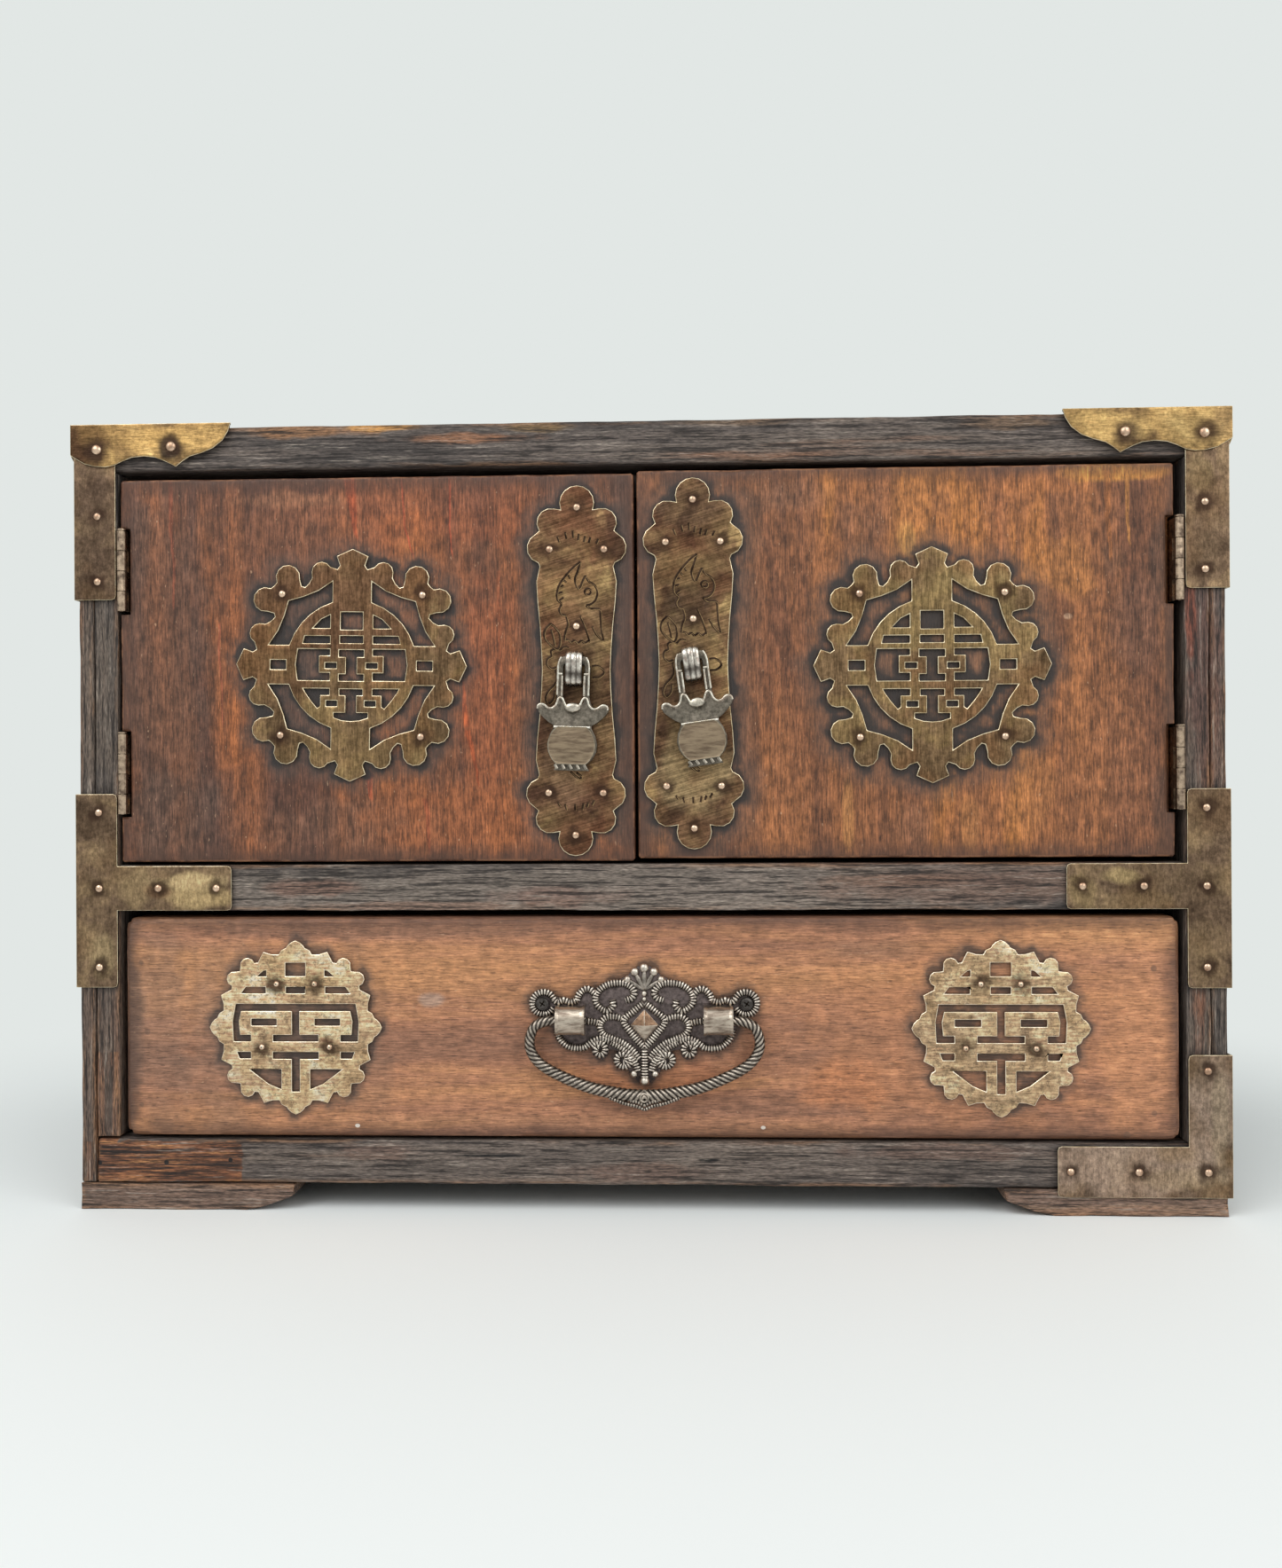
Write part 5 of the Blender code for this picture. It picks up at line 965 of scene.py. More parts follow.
def worn_corner(co, low, high, corner):
    """A point of a board, drawn in where the front's corner is rounded by wear."""
    gap_x = min(co.x - low.x, high.x - co.x)
    gap_z = min(co.z - low.z, high.z - co.z)
    if gap_x >= corner or gap_z >= corner:
        return co
    aside, above = corner - gap_x, corner - gap_z
    reach = math.hypot(aside, above)
    longest = max(aside, above)
    drawn = longest / reach if reach else 1.0
    inward_x = 1 if co.x - low.x < high.x - co.x else -1
    inward_z = 1 if co.z - low.z < high.z - co.z else -1
    return Vector((
        co.x + inward_x * aside * (1 - drawn), co.y, co.z + inward_z * above * (1 - drawn),
    ))


def worn_board(node, kind, metal=(), corner=0.0):
    """Stands a worn board in for a plain one: ridges along its grain, and edges rubbed in places."""
    body, finish, slot, axis, cells, ridge, chip = BOARD_KINDS[kind]
    shape = node_shape(node)
    low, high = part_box(node)
    slice_evenly(shape, low, high, cells)
    shape.normal_update()
    edge = shape.verts.layers.float.new("edge")
    stretch = Vector(along(axis, RIDGE_STRETCH))
    moved = []
    for vert in shape.verts:
        co = vert.co
        gaps = sorted(max(0.0, min(here - start, end - here)) for here, start, end in zip(co, low, high))
        vert[edge] = gaps[1]
        ridges = sum(noise.noise(co * stretch * scale) * share for scale, share in RIDGE_WAVES) + RIDGE_BASE
        rub = sum(share * max(0.0, noise.noise(co * scale) + rise) for scale, rise, share in RUB_WAVES)
        fade = max(0.0, 1 - gaps[1] / EDGE_FADE)
        worn = worn_corner(co, low, high, corner) if corner else co
        moved.append(worn - vert.normal * (ridge * ridges + chip * rub * fade))
    if metal:
        tree = metal_tree(metal)
        mark_nearness(shape, lambda co: tree.find_nearest(co)[3])
    else:
        mark_nearness(shape, lambda co: FARTHEST)
    for vert, co in zip(shape.verts, moved):
        vert.co = co
    return add_piece(f"worn_{node}", shape, body, [finish], [node])


def round_corners(shape, thickness):
    """Rounds the corners of a sheet on the front, most at the ends of its arm."""
    for radius, arm in ((ARM_CORNER, True), (LEG_CORNER, False)):
        corners = []
        for line in shape.edges:
            first, second = (vert.co for vert in line.verts)
            across = Vector((second.x - first.x, 0, second.z - first.z)).length
            deep = abs(second.y - first.y)
            on_arm = abs(first.x) < ARM_FROM
            through = across < WELD and abs(deep - thickness) < CORNER_DEPTH_SLACK
            if through and line.is_convex and on_arm == arm:
                corners.append(line)
        bmesh.ops.bevel(
            shape, geom=corners, offset=radius, segments=5, profile=0.5, affect="EDGES", clamp_overlap=False,
        )


def soft_sheet(node, body, face, edge, width, cells, nails):
    """Stands a sheet with rolled edges, painted bright as highlights, in for a plain one, marked with how far
    its nails are.
    """
    shape = node_shape(node)
    low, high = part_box(node)
    if face == "bracket":
        round_corners(shape, SHEET_THICKNESS)
    sharp = [line for line in shape.edges if line.calc_face_angle(0) > EDGE_ANGLE]
    # The rolled rims take the second finish, a bright metal that paints highlights on them.
    bmesh.ops.bevel(
        shape, geom=sharp, offset=width, segments=2, profile=0.5, affect="EDGES", clamp_overlap=False,
        material=1,
    )
    slice_evenly(shape, low, high, cells)
    tree = kdtree.KDTree(len(nails))
    for number, nail in enumerate(nails):
        tree.insert(nail, number)
    tree.balance()
    mark_nearness(shape, lambda co: tree.find(co)[2])
    return add_piece(f"sheet_{node}", shape, body, [face, edge], [node])


def dome_nails(name, body, nails, radius):
    """Domed nail heads, one for each place and outward direction, joined in one piece."""
    shape = bmesh.new()
    for place, outward in nails:
        outward = Vector(outward)
        turn = outward.to_track_quat("Z", "Y").to_matrix().to_4x4()
        squash = Matrix.Diagonal((radius, radius, radius * NAIL_DOME_SHARE, 1))
        move = Matrix.Translation(Vector(place) - outward * NAIL_SINK)
        bmesh.ops.create_uvsphere(shape, u_segments=16, v_segments=10, radius=1, matrix=move @ turn @ squash)
    return add_piece(name, shape, body, ["nail"])


def curve_points(points, steps=16):
    """A dense curve through points, or a straight line between two."""
    if len(points) == 2:
        return [points[0].lerp(points[1], number / steps) for number in range(steps + 1)]
    dense = []
    padded = [2 * points[0] - points[1]] + points + [2 * points[-1] - points[-2]]
    for a, b, c, d in zip(padded, padded[1:], padded[2:], padded[3:]):
        for number in range(steps):
            t = number / steps
            squared, cubed = t ** 2, t ** 3
            dense.append(0.5 * (
                2 * b + (c - a) * t + (2 * a - 5 * b + 4 * c - d) * squared + (3 * b - a - 3 * c + d) * cubed
            ))
    dense.append(points[-1])
    return dense


def smooth_path(points, step):
    """A curve through points in a plane, read at even steps."""
    dense = curve_points([Vector(point) for point in points])
    lengths = [0.0]
    for before, after in zip(dense, dense[1:]):
        lengths.append(lengths[-1] + (after - before).length)
    count = max(2, round(lengths[-1] / step))
    made, at = [], 0
    for number in range(count + 1):
        goal = lengths[-1] * number / count
        while at < len(dense) - 2 and lengths[at + 1] < goal:
            at += 1
        span = lengths[at + 1] - lengths[at]
        share = (goal - lengths[at]) / span if span else 0
        made.append(dense[at].lerp(dense[at + 1], min(1, max(0, share))))
    return made


def crest_layer(shape):
    """The layer that holds how high each point of a casting stands."""
    return shape.verts.layers.float.get("crest") or shape.verts.layers.float.new("crest")


def sweep(shape, path, binormal, section):
    """Skins rings of points along a path that lies in one plane, and closes its ends.

    The section gives, for a length travelled, each point's step beside the path, its step along the binormal
    and its height as the finish sees it.
    """
    crest = crest_layer(shape)
    binormal = Vector(binormal)
    rings = []
    travelled = 0.0
    for number, point in enumerate(path):
        before = path[max(0, number - 1)]
        after = path[min(len(path) - 1, number + 1)]
        beside = binormal.cross((after - before).normalized())
        ring = []
        for side, lift, height in section(travelled):
            vert = shape.verts.new(point + beside * side + binormal * lift)
            vert[crest] = height
            ring.append(vert)
        rings.append(ring)
        travelled += (after - point).length
    for first, second in zip(rings, rings[1:]):
        for number in range(len(first)):
            following = (number + 1) % len(first)
            shape.faces.new((first[number], first[following], second[following], second[number]))
    shape.faces.new(rings[0][::-1])
    shape.faces.new(rings[-1])


def ring_angles(sides):
    """The angles of the points round a section."""
    return [2 * math.pi * number / sides for number in range(sides)]


def round_section(radius, flat=1.0, height=1.0, sides=8):
    """A round or flattened section that stays the same along the path."""
    ring = [
        (radius * math.cos(angle), radius * flat * math.sin(angle), height) for angle in ring_angles(sides)
    ]
    return lambda travelled: ring


def milled_section(radius, pitch, depth=0.22, flat=1.0, sides=10):
    """A round section with ribs across the path, whose tops are marked as raised."""
    def section(travelled):
        rib = 0.5 + 0.5 * math.cos(2 * math.pi * travelled / pitch)
        size = radius * (1 - depth + depth * rib)
        made = []
        for angle in ring_angles(sides):
            across, out = math.cos(angle), math.sin(angle)
            made.append((size * across, size * flat * out, rib * (0.7 + 0.3 * max(0.0, out))))
        return made

    return section


def roped_section(radius_at, middle, flutes, twist, depth=0.19, sides=30):
    """A twisted section, like rope, laid the other way on each side of its middle."""
    def section(travelled):
        made = []
        for angle in ring_angles(sides):
            lay = 2 * math.pi * abs(travelled - middle) / twist
            strand = 0.5 + 0.5 * math.cos(flutes * (angle - lay))
            size = radius_at(travelled) * (1 - depth + depth * strand)
            made.append((size * math.cos(angle), size * math.sin(angle), strand))
        return made

    return section


def on_front(points, depth):
    """Places given in millimetres on the front, at a depth in metres."""
    return [Vector((x * MM, depth, z * MM)) for x, z in points]


def both_halves(points):
    """A line whose first half is given, mirrored to its second half."""
    return [(-x, z) for x, z in points] + list(points[-2::-1])


def mirrored_nails(places, sign, depth):
    """Nails of a sheet on the front, as places and directions, mirrored to its side."""
    return [((sign * x * MM, depth, z * MM), TOWARD_VIEWER) for x, z in places]


def make_boards():
    """The worn boards of the box."""
    for node in ("top_board", "shelf_board", "bottom_board"):
        worn_board(node, "rail", CORNER_METAL)
    for side in ("left", "right"):
        worn_board(f"side_panel_{side}", "panel", CORNER_METAL)
        worn_board(f"front_stile_{side}", "stile", CORNER_METAL)
        for end in ("front", "back"):
            worn_board(f"foot_{end}_{side}", "foot")


def make_doors():
    """The two door boards."""
    for side in ("left", "right"):
        metal = (f"medallion_door_{side}", f"pull_plate_{side}")
        worn_board(f"door_{side}", f"{side}_door", metal, DOOR_CORNER)


def make_drawer_boards():
    """The drawer's front, and the plain inner boards."""
    metal = ("medallion_drawer_left", "medallion_drawer_right", "pull_backplate")
    worn_board("drawer_front", "drawer_front", metal, DRAWER_CORNER)
    for node in ("drawer_back", "drawer_bottom", "back_panel"):
        worn_board(node, node)
    for side in ("left", "right"):
        for kind in ("drawer_side", "drawer_guide"):
            worn_board(f"{kind}_{side}", kind)


def sheet_with_nails(node, body, face, edge, width, cells, nails, radius):
    """A nailed sheet and its nail heads."""
    soft_sheet(node, body, face, edge, width, cells, [place for place, _ in nails])
    dome_nails(f"nails_{node}", body, nails, radius)


def make_corner_metal():
    """Caps, straps, tees and the one elbow, with the nails on their fronts and flanks."""
    low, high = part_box("side_panel_right")
    sheet_y, sheet_x = low.y - SHEET_THICKNESS, high.x + SHEET_THICKNESS
    cap_y, cap_x = sheet_y - CAP_OVER_SHEET, sheet_x + CAP_OVER_SHEET
    cap_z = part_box("top_board")[1].z + SHEET_THICKNESS
    for side, sign in (("left", -1), ("right", 1)):
        nails = mirrored_nails(CAP_NAILS_MM, sign, cap_y)
        nails += [((sign * cap_x, cap_y + (cap_x - x * MM), z * MM), (sign, 0, 0)) for x, z in CAP_NAILS_MM]
        nails.append(((sign * (cap_x - CAP_TOP_NAIL_IN), cap_y + CAP_TOP_NAIL_IN, cap_z), (0, 0, 1)))
        sheet_with_nails(
            f"corner_cap_{side}", "carcass", "cap", "brass_rim_highlight", CAP_RIM, CORNER_CELLS, nails,
            CAP_NAIL_RADIUS,
        )
        for node, places, flank in (
            (f"strap_{side}", STRAP_NAILS_MM, STRAP_NAILS_MM),
            (f"tee_bracket_{side}", TEE_NAILS_MM, TEE_NAILS_MM[:2]),
            (f"elbow_bracket_{side}", ELBOW_NAILS_MM, ELBOW_NAILS_MM[:2]),
        ):
            if node not in frame["nodes"]:
                continue
            nails = mirrored_nails(places, sign, sheet_y)
            nails += [((sign * sheet_x, sheet_y + FLANK_NAIL_IN, z * MM), (sign, 0, 0)) for _, z in flank]
            sheet_with_nails(
                node, "carcass", "bracket", "brass_rim_highlight", BRACKET_RIM, CORNER_CELLS, nails,
                BRACKET_NAIL_RADIUS,
            )


def flat_middle(node):
    """The middle of a solid's box on the front, in metres, and the depth of its face."""
    low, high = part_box(node)
    return (low.x + high.x) / 2, (low.z + high.z) / 2, low.y + NAIL_FACE_IN


def turned_nails(places, centre, turn, depth):
    """Nails given from a centre in millimetres, turned with their sheet."""
    cos, sin = math.cos(turn), math.sin(turn)
    made = []
    for x, z in places:
        x, z = x * MM, z * MM
        made.append(((centre[0] + x * cos - z * sin, depth, centre[1] + x * sin + z * cos), TOWARD_VIEWER))
    return made


def make_medallions():
    """The fretwork medallions of the doors and the drawer."""
    for side in ("left", "right"):
        node = f"medallion_door_{side}"
        x, z, face = flat_middle(node)
        nails = turned_nails(DOOR_FRET_NAILS_MM, (x, z), MEDALLION_TURNS[side], face)
        sheet_with_nails(
            node, f"{side}_door", "medallion", "brass_rim_highlight", BRASS_RIM, FRET_CELLS, nails,
            DOOR_NAIL_RADIUS,
        )
        node = f"medallion_drawer_{side}"
        x, z, face = flat_middle(node)
        nails = turned_nails(DRAWER_FRET_NAILS_MM, (x, z), 0.0, face)
        sheet_with_nails(
            node, "drawer", "drawer_fret", "pale_rim_highlight", PALE_RIM, FRET_CELLS, nails,
            DRAWER_NAIL_RADIUS,
        )


def engraved_lines():
    """Every line of the engraving, as points on the plate."""
    lines = [smooth_path(on_front(points, 0), ENGRAVED_STEP) for points in ENGRAVED_LINES_MM]
    lines += [on_front(pair, 0) for pair in zip(ENGRAVED_HEM_MM, ENGRAVED_HEM_MM[1:])]
    lines += [on_front(points, 0) for points in ENGRAVED_TICKS_MM]
    x, z, radius = ENGRAVED_EYE_MM
    angles = [step * EYE_STEP for step in range(EYE_STEPS)]
    eye = [(x + radius * math.cos(angle), z + radius * math.sin(angle)) for angle in angles]
    return lines + [on_front(eye, 0)]


def engrave(side, centre, depth):
    """The dark engraved lines laid on a pull plate, and beside each a bright line to its lower right, a
    painted highlight on the lit wall of its groove.
    """
    place = Matrix.Translation((centre[0], depth, centre[1])) @ Matrix.Rotation(-PLATE_TURNS[side], 4, "Y")
    for name, finish, half, rise, aside in (
        ("engraving", "engraved", ENGRAVED_WIDTH, ENGRAVED_RISE, Vector((0, 0, 0))),
        ("groove_highlight", "groove_highlight", GROOVE_HIGHLIGHT_WIDTH, GROOVE_HIGHLIGHT_RISE, GROOVE_HIGHLIGHT_ASIDE),
    ):
        shape = bmesh.new()
        section = round_section(half, rise / half, 0.0, 6)
        for points in engraved_lines():
            sweep(shape, [point + aside for point in points], TOWARD_VIEWER, section)
        bmesh.ops.transform(shape, matrix=place, verts=shape.verts)
        add_piece(f"{name}_{side}", shape, f"{side}_door", [finish])


def make_plates():
    """The engraved pull plates."""
    for side in ("left", "right"):
        node = f"pull_plate_{side}"
        x, z, face = flat_middle(node)
        nails = turned_nails(PLATE_NAILS_MM, (x, z), PLATE_TURNS[side], face)
        sheet_with_nails(
            node, f"{side}_door", "plate", "brass_rim_highlight", BRASS_RIM, PLATE_CELLS, nails,
            DOOR_NAIL_RADIUS,
        )
        engrave(side, (x, z), face)


def bead(shape, place, radii, turn=0.0, height=1.0):
    """A rounded bead, turned in the plane of the front."""
    crest = crest_layer(shape)
    matrix = Matrix.Translation(place) @ Matrix.Rotation(turn, 4, "Y") @ Matrix.Diagonal((*radii, 1))
    made = bmesh.ops.create_uvsphere(shape, u_segments=12, v_segments=8, radius=1, matrix=matrix)
    for vert in made["verts"]:
        vert[crest] = height


def curl_points(x, z, start_radius, end_radius, start, turn):
    """A spiral about a centre, from one radius to another, as points in millimetres."""
    count = max(8, abs(turn) // 24)
    made = []
    for number in range(count + 1):
        share = number / count
        angle = math.radians(start + turn * share)
        radius = start_radius + (end_radius - start_radius) * share
        made.append((x + radius * math.cos(angle), z + radius * math.sin(angle)))
    return made


def make_scrolls(plate_y):
    """The milled scrolls, beads and shell that stand on the drawer pull's backplate."""
    shape = bmesh.new()
    step = SCROLL_PITCH / 5
    milled = milled_section(SCROLL_RADIUS, SCROLL_PITCH, 0.30, SCROLL_FLAT)
    lines = list(SCROLLS_MM) + [curl_points(*curl) for curl in SCROLL_CURLS_MM]
    for points in lines:
        for sign in (1, -1):
            half = [(sign * x, z) for x, z in points]
            sweep(shape, smooth_path(on_front(half, plate_y - SCROLL_LIFT), step), TOWARD_VIEWER, milled)
    sweep(shape, smooth_path(on_front(STEM_MM, plate_y - STEM_LIFT), step), TOWARD_VIEWER, milled)
    for x, z, radius in STEM_BEADS_MM:
        place = (x * MM, plate_y - BEAD_LIFT, z * MM)
        bead(shape, place, (radius * MM, radius * MM, radius * MM), height=0.75)
    root = Vector((SHELL_ROOT_MM[0] * MM, 0, SHELL_ROOT_MM[1] * MM))
    for x, z, radius in SHELL_LOBES_MM:
        tip = Vector((x * MM, 0, z * MM))
        reach = tip - root
        middle = (tip + root) / 2
        middle.y = plate_y
        size = (radius * SHELL_RIB_SHARE * MM, SHELL_RIB_RISE, reach.length / 2)
        bead(shape, middle, size, math.atan2(reach.x, reach.z), 0.5)
        bead(shape, (tip.x, plate_y, tip.z), (radius * MM, SHELL_TIP_RISE, radius * MM), 0.0, 0.9)
    add_piece("pull_scrolls", shape, "drawer", ["rope"])


def make_saddles(plate_y):
    """The bright bent straps that hold the bail's ends."""
    near, far, middle_z, rise, bulge = SADDLE_MM
    axis_y = joint_named("bail_pivot")["pos_m"][1]
    seat = plate_y + SADDLE_SINK
    shape = bmesh.new()
    for sign in (-1, 1):
        rows = []
        for number in range(SADDLE_ROWS + 1):
            share = number / SADDLE_ROWS
            rim = SADDLE_RIM if min(share, 1 - share) < SADDLE_RIM_SHARE else 0.0
            x = sign * (near + (far - near) * share) * MM
            up, out = rise * MM + rim, bulge * MM + rim
            line = [(seat, up)]
            for step in range(SADDLE_STEPS + 1):
                angle = math.pi * step / SADDLE_STEPS
                line.append((axis_y - out * math.sin(angle), up * math.cos(angle)))
            line.append((seat, -up))
            rows.append([shape.verts.new((x, y, middle_z * MM + z)) for y, z in line])
        for first, second in zip(rows, rows[1:]):
            for a, b, c, d in zip(first, first[1:], second[1:], second):
                shape.faces.new((a, b, c, d))
            shape.faces.new((first[0], second[0], second[-1], first[-1]))
        shape.faces.new(rows[0])
        shape.faces.new(rows[-1][::-1])
    add_piece("saddle_straps", shape, "drawer", ["saddle"])


def make_diamond(plate_y):
    """The low pyramid in the middle of the backplate: its upper two facets take a darker metal as painted
    shade, its lower two the bright saddle metal.
    """
    x, z, half_x, half_z, rise = DIAMOND_MM
    shape = bmesh.new()
    ring = [
        shape.verts.new(((x + dx) * MM, plate_y, (z + dz) * MM))
        for dx, dz in ((half_x, 0), (0, half_z), (-half_x, 0), (0, -half_z))
    ]
    tip = shape.verts.new((x * MM, plate_y - rise * MM, z * MM))
    for number, (first, second) in enumerate(zip(ring, ring[1:] + ring[:1])):
        face = shape.faces.new((first, second, tip))
        # Painted shade: the upper two facets take the darker metal.
        face.material_index = 1 if number < 2 else 0
    shape.faces.new(ring[::-1])
    bmesh.ops.bevel(
        shape, geom=shape.edges[:], offset=DIAMOND_EDGE, segments=2, affect="EDGES", profile=0.5, material=0,
    )
    add_piece("diamond_boss", shape, "drawer", ["saddle", "shaded_facet"])


def make_backplate():
    """The drawer pull's backplate, with all that is cast on it."""
    plate_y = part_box("drawer_front")[0].y - PLATE_FACE_OUT
    shape = node_shape("pull_backplate")
    crest_layer(shape)
    sharp = [line for line in shape.edges if line.calc_face_angle(0) > EDGE_ANGLE]
    bmesh.ops.bevel(
        shape, geom=sharp, offset=PLATE_EDGE, segments=1, profile=0.5, affect="EDGES", clamp_overlap=True,
    )
    add_piece("backplate_field", shape, "drawer", ["field"], ["pull_backplate"])
    make_scrolls(plate_y)
    make_saddles(plate_y)
    make_diamond(plate_y)


def make_bail():
    """The roped bail with its knot."""
    depth = joint_named("bail_pivot")["pos_m"][1]
    path = smooth_path(on_front(both_halves(BAIL_MM[::-1]), depth), BAIL_TWIST / BAIL_FLUTES / 5)
    length = sum((after - before).length for before, after in zip(path, path[1:]))

    def radius_at(travelled):
        if min(travelled, length - travelled) < BAIL_STRAIGHT:
            return BAIL_RADIUS * BAIL_END_SHARE
        return BAIL_RADIUS + BAIL_SWELL * (1 - abs(2 * travelled / length - 1)) ** 2

    shape = bmesh.new()
    sweep(shape, path, TOWARD_VIEWER, roped_section(radius_at, length / 2, BAIL_FLUTES, BAIL_TWIST))
    strand = milled_section(*KNOT_STRAND)
    for points in BAIL_KNOT_MM:
        for sign in (-1, 1):
            knot = [(sign * x, z) for x, z in points]
            sweep(shape, smooth_path(on_front(knot, depth - KNOT_LIFT), KNOT_STEP), TOWARD_VIEWER, strand)
    x, z, radius = KNOT_RING_MM
    ring = [(x + radius * math.cos(angle), z + radius * math.sin(angle)) for angle in ring_angles(12)]
    ring.append(ring[0])
    sweep(shape, on_front(ring, depth - KNOT_RING_LIFT), TOWARD_VIEWER, round_section(KNOT_RING_RADIUS))
    add_piece("roped_bail", shape, "bail", ["bail"], ["bail_handle"])


def make_screws():
    """Cross-headed screws in the pull's ears."""
    for side in ("left", "right"):
        node = f"pull_screw_{side}"
        low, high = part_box(node)
        x, z = (low.x + high.x) / 2, (low.z + high.z) / 2
        dome = Matrix.Diagonal((*SCREW_DOME, 1))
        shape = node_shape(node)
        bmesh.ops.create_uvsphere(
            shape, u_segments=20, v_segments=10, radius=1,
            matrix=Matrix.Translation((x, low.y + SCREW_DOME_SINK, z)) @ dome,
        )
        add_piece(f"screw_{side}", shape, "drawer", ["screw"], [node])
        shape = bmesh.new()
        for turn in (SCREW_TURN, SCREW_TURN + math.pi / 2):
            matrix = Matrix.Translation((x, low.y - SCREW_SLOT_LIFT, z)) @ Matrix.Rotation(turn, 4, "Y")
            size = Matrix.Diagonal((*SCREW_SLOT, 1))
            bmesh.ops.create_cube(shape, size=1, matrix=matrix @ size)
        add_piece(f"screw_cross_{side}", shape, "drawer", ["groove"], smooth=False)


def joint_named(name):
    """The record of one joint."""
    return next(joint for joint in frame["record"]["behaviour"]["joints"] if joint["name"] == name)


def pull_place(side):
    """The matrix that sets what is drawn about a door pull's pivot on its door."""
    joint = joint_named(f"{side}_pull_pivot")
    turn = math.atan2(-joint["axis"][2], -joint["axis"][0])
    return Matrix.Translation(joint["pos_m"]) @ Matrix.Rotation(-turn, 4, "Y")


def make_drop_pulls():
    """The hooks and the cast pulls that hang in them."""
    for side in ("left", "right"):
        place = pull_place(side)
        make_hook(side, place)
        make_casting(side, place)


def hook_path():
    """The middle line of a hook, from the plate over its bend and back to the plate."""
    outer = HOOK_OUTER_RADIUS
    shares = [number / HOOK_STEPS for number in range(HOOK_STEPS + 1)]
    path = [Vector((0, HOOK_SEAT, outer)), Vector((0, HOOK_LEG, outer))]
    for share in shares:
        angle = math.pi / 2 * share
        path.append(Vector((0, -outer * math.sin(angle), outer * math.cos(angle))))
    for share in shares[1:]:
        path.append(Vector((0, -outer, -HOOK_DROP * share)))
    for share in shares[1:]:
        angle = math.pi / 2 * share
        path.append(Vector((0, -outer * math.cos(angle), -HOOK_DROP - outer * math.sin(angle))))
    path.append(Vector((0, HOOK_SEAT, -HOOK_DROP - outer)))
    return path


def make_hook(side, place):
    """The ribbed strap that a pull hangs from, with painted light along it: a highlight on each bend, painted
    shade in a band between them, darkest where it turns back under to the plate.
    """
    path = hook_path()
    length = sum((after - before).length for before, after in zip(path, path[1:]))

    def section(travelled):
        share = travelled / length
        # Painted light along the strap: highlights on its bends, painted shade in a band between them and
        # where it turns back under to the plate.
        bright = 1 - 0.75 * max(0.0, 1 - abs(share - 0.60) / 0.13) - 0.9 * max(0.0, (share - 0.80) / 0.2)
        ring = []
        for number in range(25):
            aside = number / 12 - 1
            rib = abs(math.sin(1.5 * math.pi * (aside + 1)))
            rise = HOOK_BULGE * (1 - aside ** 2) - HOOK_GROOVE * (1 - rib)
            ring.append((-rise, HOOK_HALF_WIDTH * aside, bright * (0.35 + 0.65 * rib)))
        return ring + [(HOOK_THICKNESS, HOOK_HALF_WIDTH, 0.0), (HOOK_THICKNESS, -HOOK_HALF_WIDTH, 0.0)]

    shape = bmesh.new()
    sweep(shape, path, (1, 0, 0), section)
    bmesh.ops.transform(shape, matrix=place, verts=shape.verts)
    add_piece(f"ribbed_hook_{side}", shape, f"{side}_door", ["hook"], [f"pull_hook_{side}"])


def clipped_disc(radius_x, low, high, share):
    """A circle cut off level at its top and its foot, shrunk by a share, as points in millimetres."""
    made = []
    for angle in ring_angles(48):
        x, z = radius_x * math.cos(angle), radius_x * math.sin(angle)
        made.append((x * share, max(low, min(high, z)) * share))
    return made


def make_pot(side, body, place, front):
    """The round flat pot of a pull, with a thin bright rim."""
    x, z, radius, half_height = PULL_POT_MM
    shape = bmesh.new()
    rings = []
    for share, rise in POT_RINGS:
        outline = clipped_disc(radius, -half_height, half_height, share)
        rings.append([shape.verts.new(((x + a) * MM, front - rise * MM, (z + b) * MM)) for a, b in outline])
    for level, (first, second) in enumerate(zip(rings, rings[1:])):
        for number in range(len(first)):
            following = (number + 1) % len(first)
            face = shape.faces.new((first[number], first[following], second[following], second[number]))
            face.material_index = 1 if level < 2 else 0
    shape.faces.new(rings[-1])
    shape.faces.new(rings[0][::-1])
    bmesh.ops.remove_doubles(shape, verts=shape.verts, dist=WELD)
    bmesh.ops.transform(shape, matrix=place, verts=shape.verts)
    add_piece(f"pot_{side}", shape, body, ["pot", "pot_rim"])


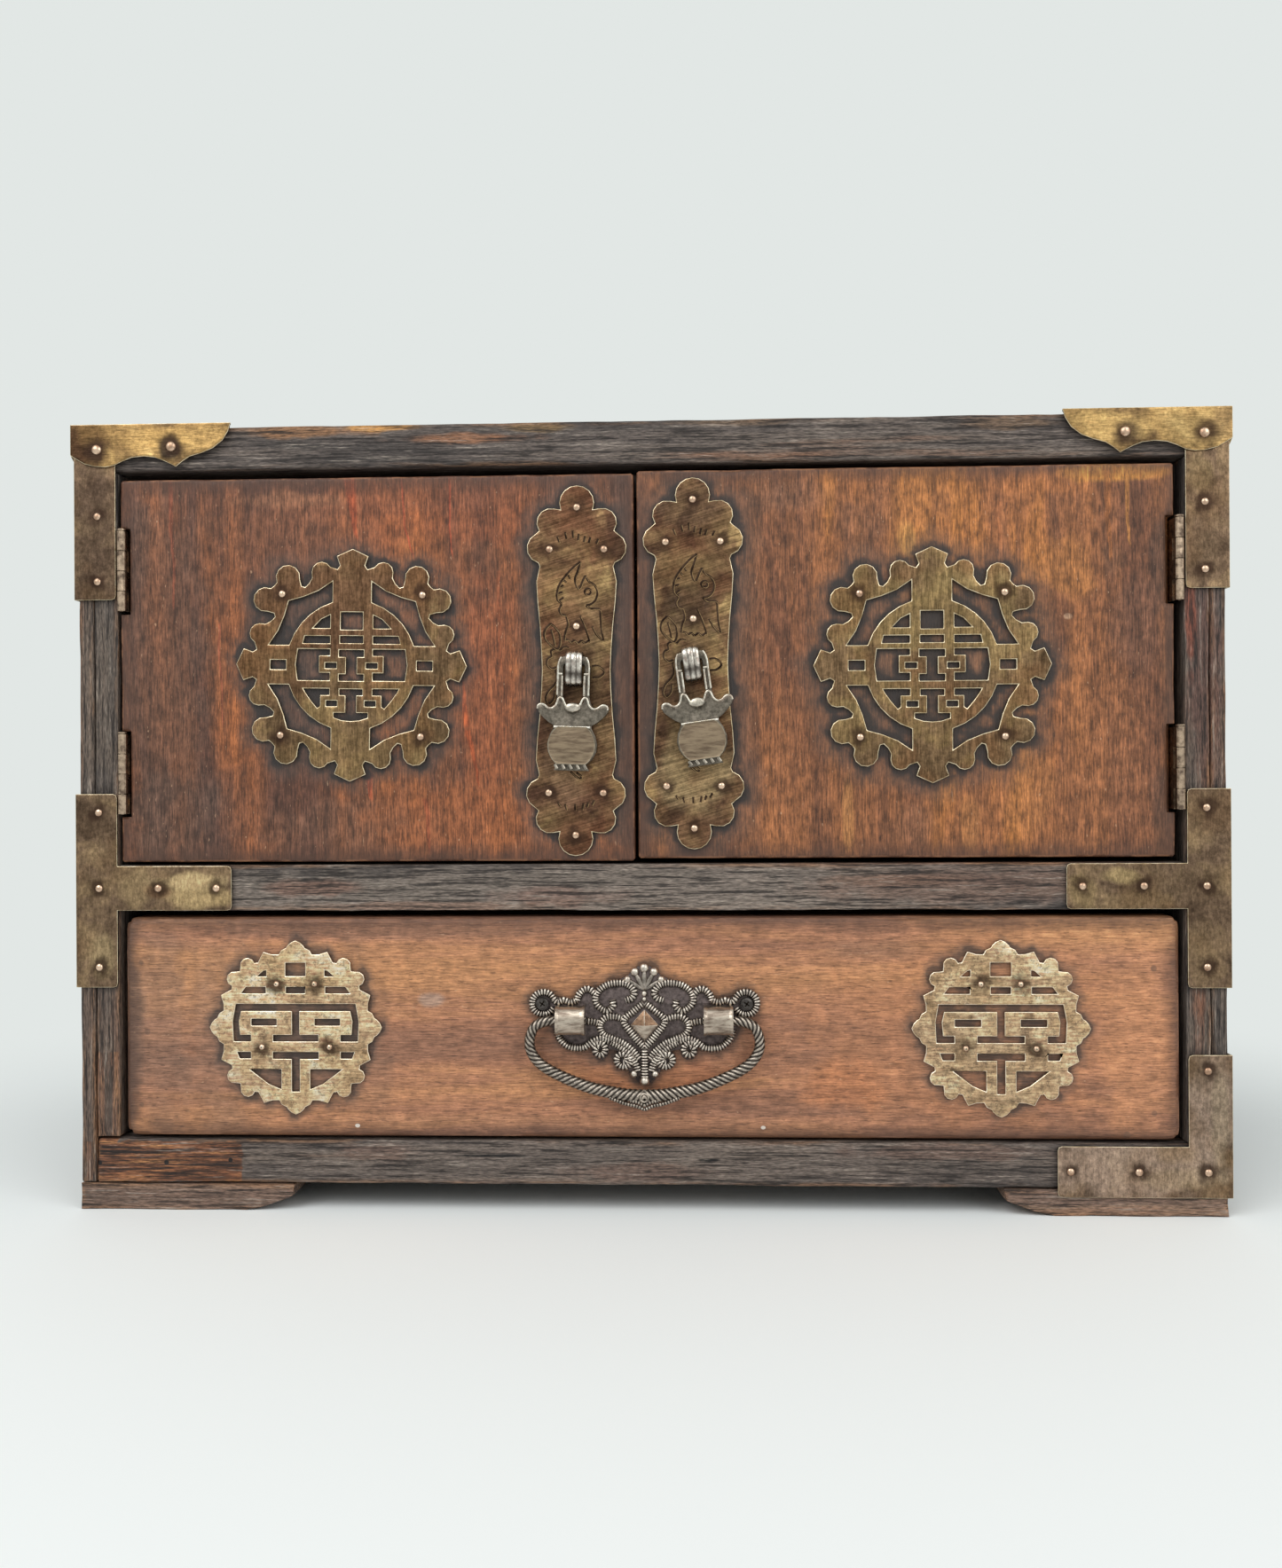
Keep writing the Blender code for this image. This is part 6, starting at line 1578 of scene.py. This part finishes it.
def make_casting(side, place):
    """The cast pull: a loop, a boat-shaped brim, a round pot and a toothed foot."""
    node = f"drop_pull_{side}"
    body = f"{side}_pull"
    low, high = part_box(node)
    pivot_y = joint_named(f"{side}_pull_pivot")["pos_m"][1]
    front = low.y - pivot_y
    shape = node_shape(node)
    crest = crest_layer(shape)
    sharp = [line for line in shape.edges if line.calc_face_angle(0) > EDGE_ANGLE]
    bmesh.ops.bevel(
        shape, geom=sharp, offset=PULL_EDGE, segments=2, profile=0.5, affect="EDGES", clamp_overlap=False,
    )
    for vert in shape.verts:
        vert[crest] = 0.28
    add_piece(f"casting_{side}", shape, body, ["loop"], [node])
    shape = bmesh.new()
    rim = round_section(PULL_RIM, 0.8, 0.62)
    for points in (PULL_LOOP_RIM_MM, PULL_INNER_RIM_MM, PULL_SHOULDER_MM):
        for sign in (-1, 1):
            line = [(sign * x, z) for x, z in points]
            sweep(shape, smooth_path(on_front(line, front), PULL_RIM_STEP), TOWARD_VIEWER, rim)
    brim = smooth_path(on_front(both_halves(PULL_BRIM_MM[::-1]), front), PULL_BRIM_STEP)
    sweep(shape, brim, TOWARD_VIEWER, rim)
    sweep(shape, on_front(PULL_BAR_MM, front), TOWARD_VIEWER, round_section(PULL_BAR_RADIUS, 0.9))
    for middle in PULL_TEETH_MM:
        tooth = [(middle + x, z) for x, z in PULL_TOOTH_MM]
        sweep(shape, on_front(tooth, front), TOWARD_VIEWER, round_section(PULL_TOOTH_RADIUS, 0.6, 0.42))
    x, z, half_x, half_z = PULL_CUP_MM
    bead(shape, Vector((x * MM, front, z * MM)), (half_x * MM, PULL_CUP_RISE, half_z * MM), 0.0, 0.55)
    bmesh.ops.transform(shape, matrix=place, verts=shape.verts)
    add_piece(f"casting_trim_{side}", shape, body, ["loop"])
    make_pot(side, body, place, front)


def finish_hinges():
    """Gives the solids that stay as they are their finishes."""
    for name, obj in frame["nodes"].items():
        material = None
        if name.startswith("hinge_"):
            material = FINISHES["hinge"]
        elif name.startswith("strike_"):
            material = FINISHES["screw"]
        elif name == "magnet_catch":
            material = FINISHES["catch"]
        if material:
            obj.data.materials.clear()
            obj.data.materials.append(material)


def seen_share(tree, hidden, seen):
    """One value for the rays that show the surroundings, straight or mirrored, and another for the rest."""
    rays = tree.nodes.new("ShaderNodeLightPath").outputs
    both = tree.nodes.new("ShaderNodeMath")
    either = tree.nodes.new("ShaderNodeMath")
    both.operation = either.operation = "MAXIMUM"
    tree.links.new(rays["Is Camera Ray"], both.inputs[0])
    tree.links.new(rays["Is Glossy Ray"], both.inputs[1])
    tree.links.new(both.outputs[0], either.inputs[0])
    tree.links.new(rays["Is Transmission Ray"], either.inputs[1])
    share = tree.nodes.new("ShaderNodeMapRange")
    share.inputs["To Min"].default_value = hidden
    share.inputs["To Max"].default_value = seen
    tree.links.new(either.outputs[0], share.inputs["Value"])
    return share.outputs[0]


def floor_finish():
    """A pale floor that passes without a line into the surroundings."""
    made = Finish("stage_floor", 0.8)
    made.gloss(0.1)
    made.colour(tone(FLOOR_COLOUR))
    behind = made.split["Y"]
    beside = made.reckon("ABSOLUTE", made.split["X"])
    ahead = made.reckon("MULTIPLY", behind, -1.0)
    far = 0.0
    for distance, start in zip((beside, behind, ahead), FLOOR_FADE_FROM):
        past = made.reckon("MAXIMUM", made.reckon("SUBTRACT", distance, start), 0.0)
        far = made.reckon("ADD", past, far)
    share = made.maths("MULTIPLY", made.ease(far, *FLOOR_FADE), seen_share(made.tree, 0.0, 1.0))
    glow = made.add("Emission", {"Color": tone(SKY_COLOUR), "Strength": 1.0}).outputs[0]
    blend = made.add("MixShader", {0: share, 1: made.shader.outputs[0], 2: glow}).outputs[0]
    made.feed(made.tree.nodes["Material Output"].inputs["Surface"], blend)
    return made.material


def make_stage():
    """The pale floor, the pale surroundings and the soft lamps."""
    shape = bmesh.new()
    bmesh.ops.create_circle(shape, cap_ends=True, segments=64, radius=FLOOR_REACH)
    mesh = bpy.data.meshes.new("floor")
    shape.to_mesh(mesh)
    shape.free()
    floor = bpy.data.objects.new("floor", mesh)
    bpy.context.scene.collection.objects.link(floor)
    mesh.materials.append(floor_finish())
    world = bpy.data.worlds.new("surroundings")
    bpy.context.scene.world = world
    world.use_nodes = True
    tree = world.node_tree
    background = tree.nodes["Background"]
    background.inputs["Color"].default_value = tone(SKY_COLOUR)
    tree.links.new(seen_share(tree, SKY_LIGHT, 1.0), background.inputs["Strength"])
    for name, place, size, power in LAMPS:
        lamp = bpy.data.lights.new(name, "AREA")
        lamp.size = size
        lamp.energy = power
        holder = bpy.data.objects.new(name, lamp)
        holder.location = place
        holder.rotation_euler = (LAMP_AIM - Vector(place)).to_track_quat("-Z", "Y").to_euler()
        bpy.context.scene.collection.objects.link(holder)


def make_camera():
    """The camera where the photograph was taken."""
    camera = bpy.data.cameras.new("camera")
    camera.sensor_width = SENSOR
    camera.lens = SENSOR * FOCAL_PIXELS / LONG_SIDE_PIXELS
    camera.clip_start = 0.01
    holder = bpy.data.objects.new("camera", camera)
    turn = Matrix.Rotation(CAMERA_YAW, 4, "Z") @ Matrix.Rotation(math.pi / 2 + CAMERA_PITCH, 4, "X")
    holder.matrix_world = Matrix.Translation(CAMERA_PLACE) @ turn @ Matrix.Rotation(CAMERA_ROLL, 4, "Z")
    bpy.context.scene.collection.objects.link(holder)
    bpy.context.scene.camera = holder


make_camera()
make_stage()
bpy.context.scene.view_settings.view_transform = "Standard"
make_boards()
make_doors()
make_drawer_boards()
make_corner_metal()
make_medallions()
make_plates()
make_drop_pulls()
make_backplate()
make_bail()
make_screws()
finish_hinges()
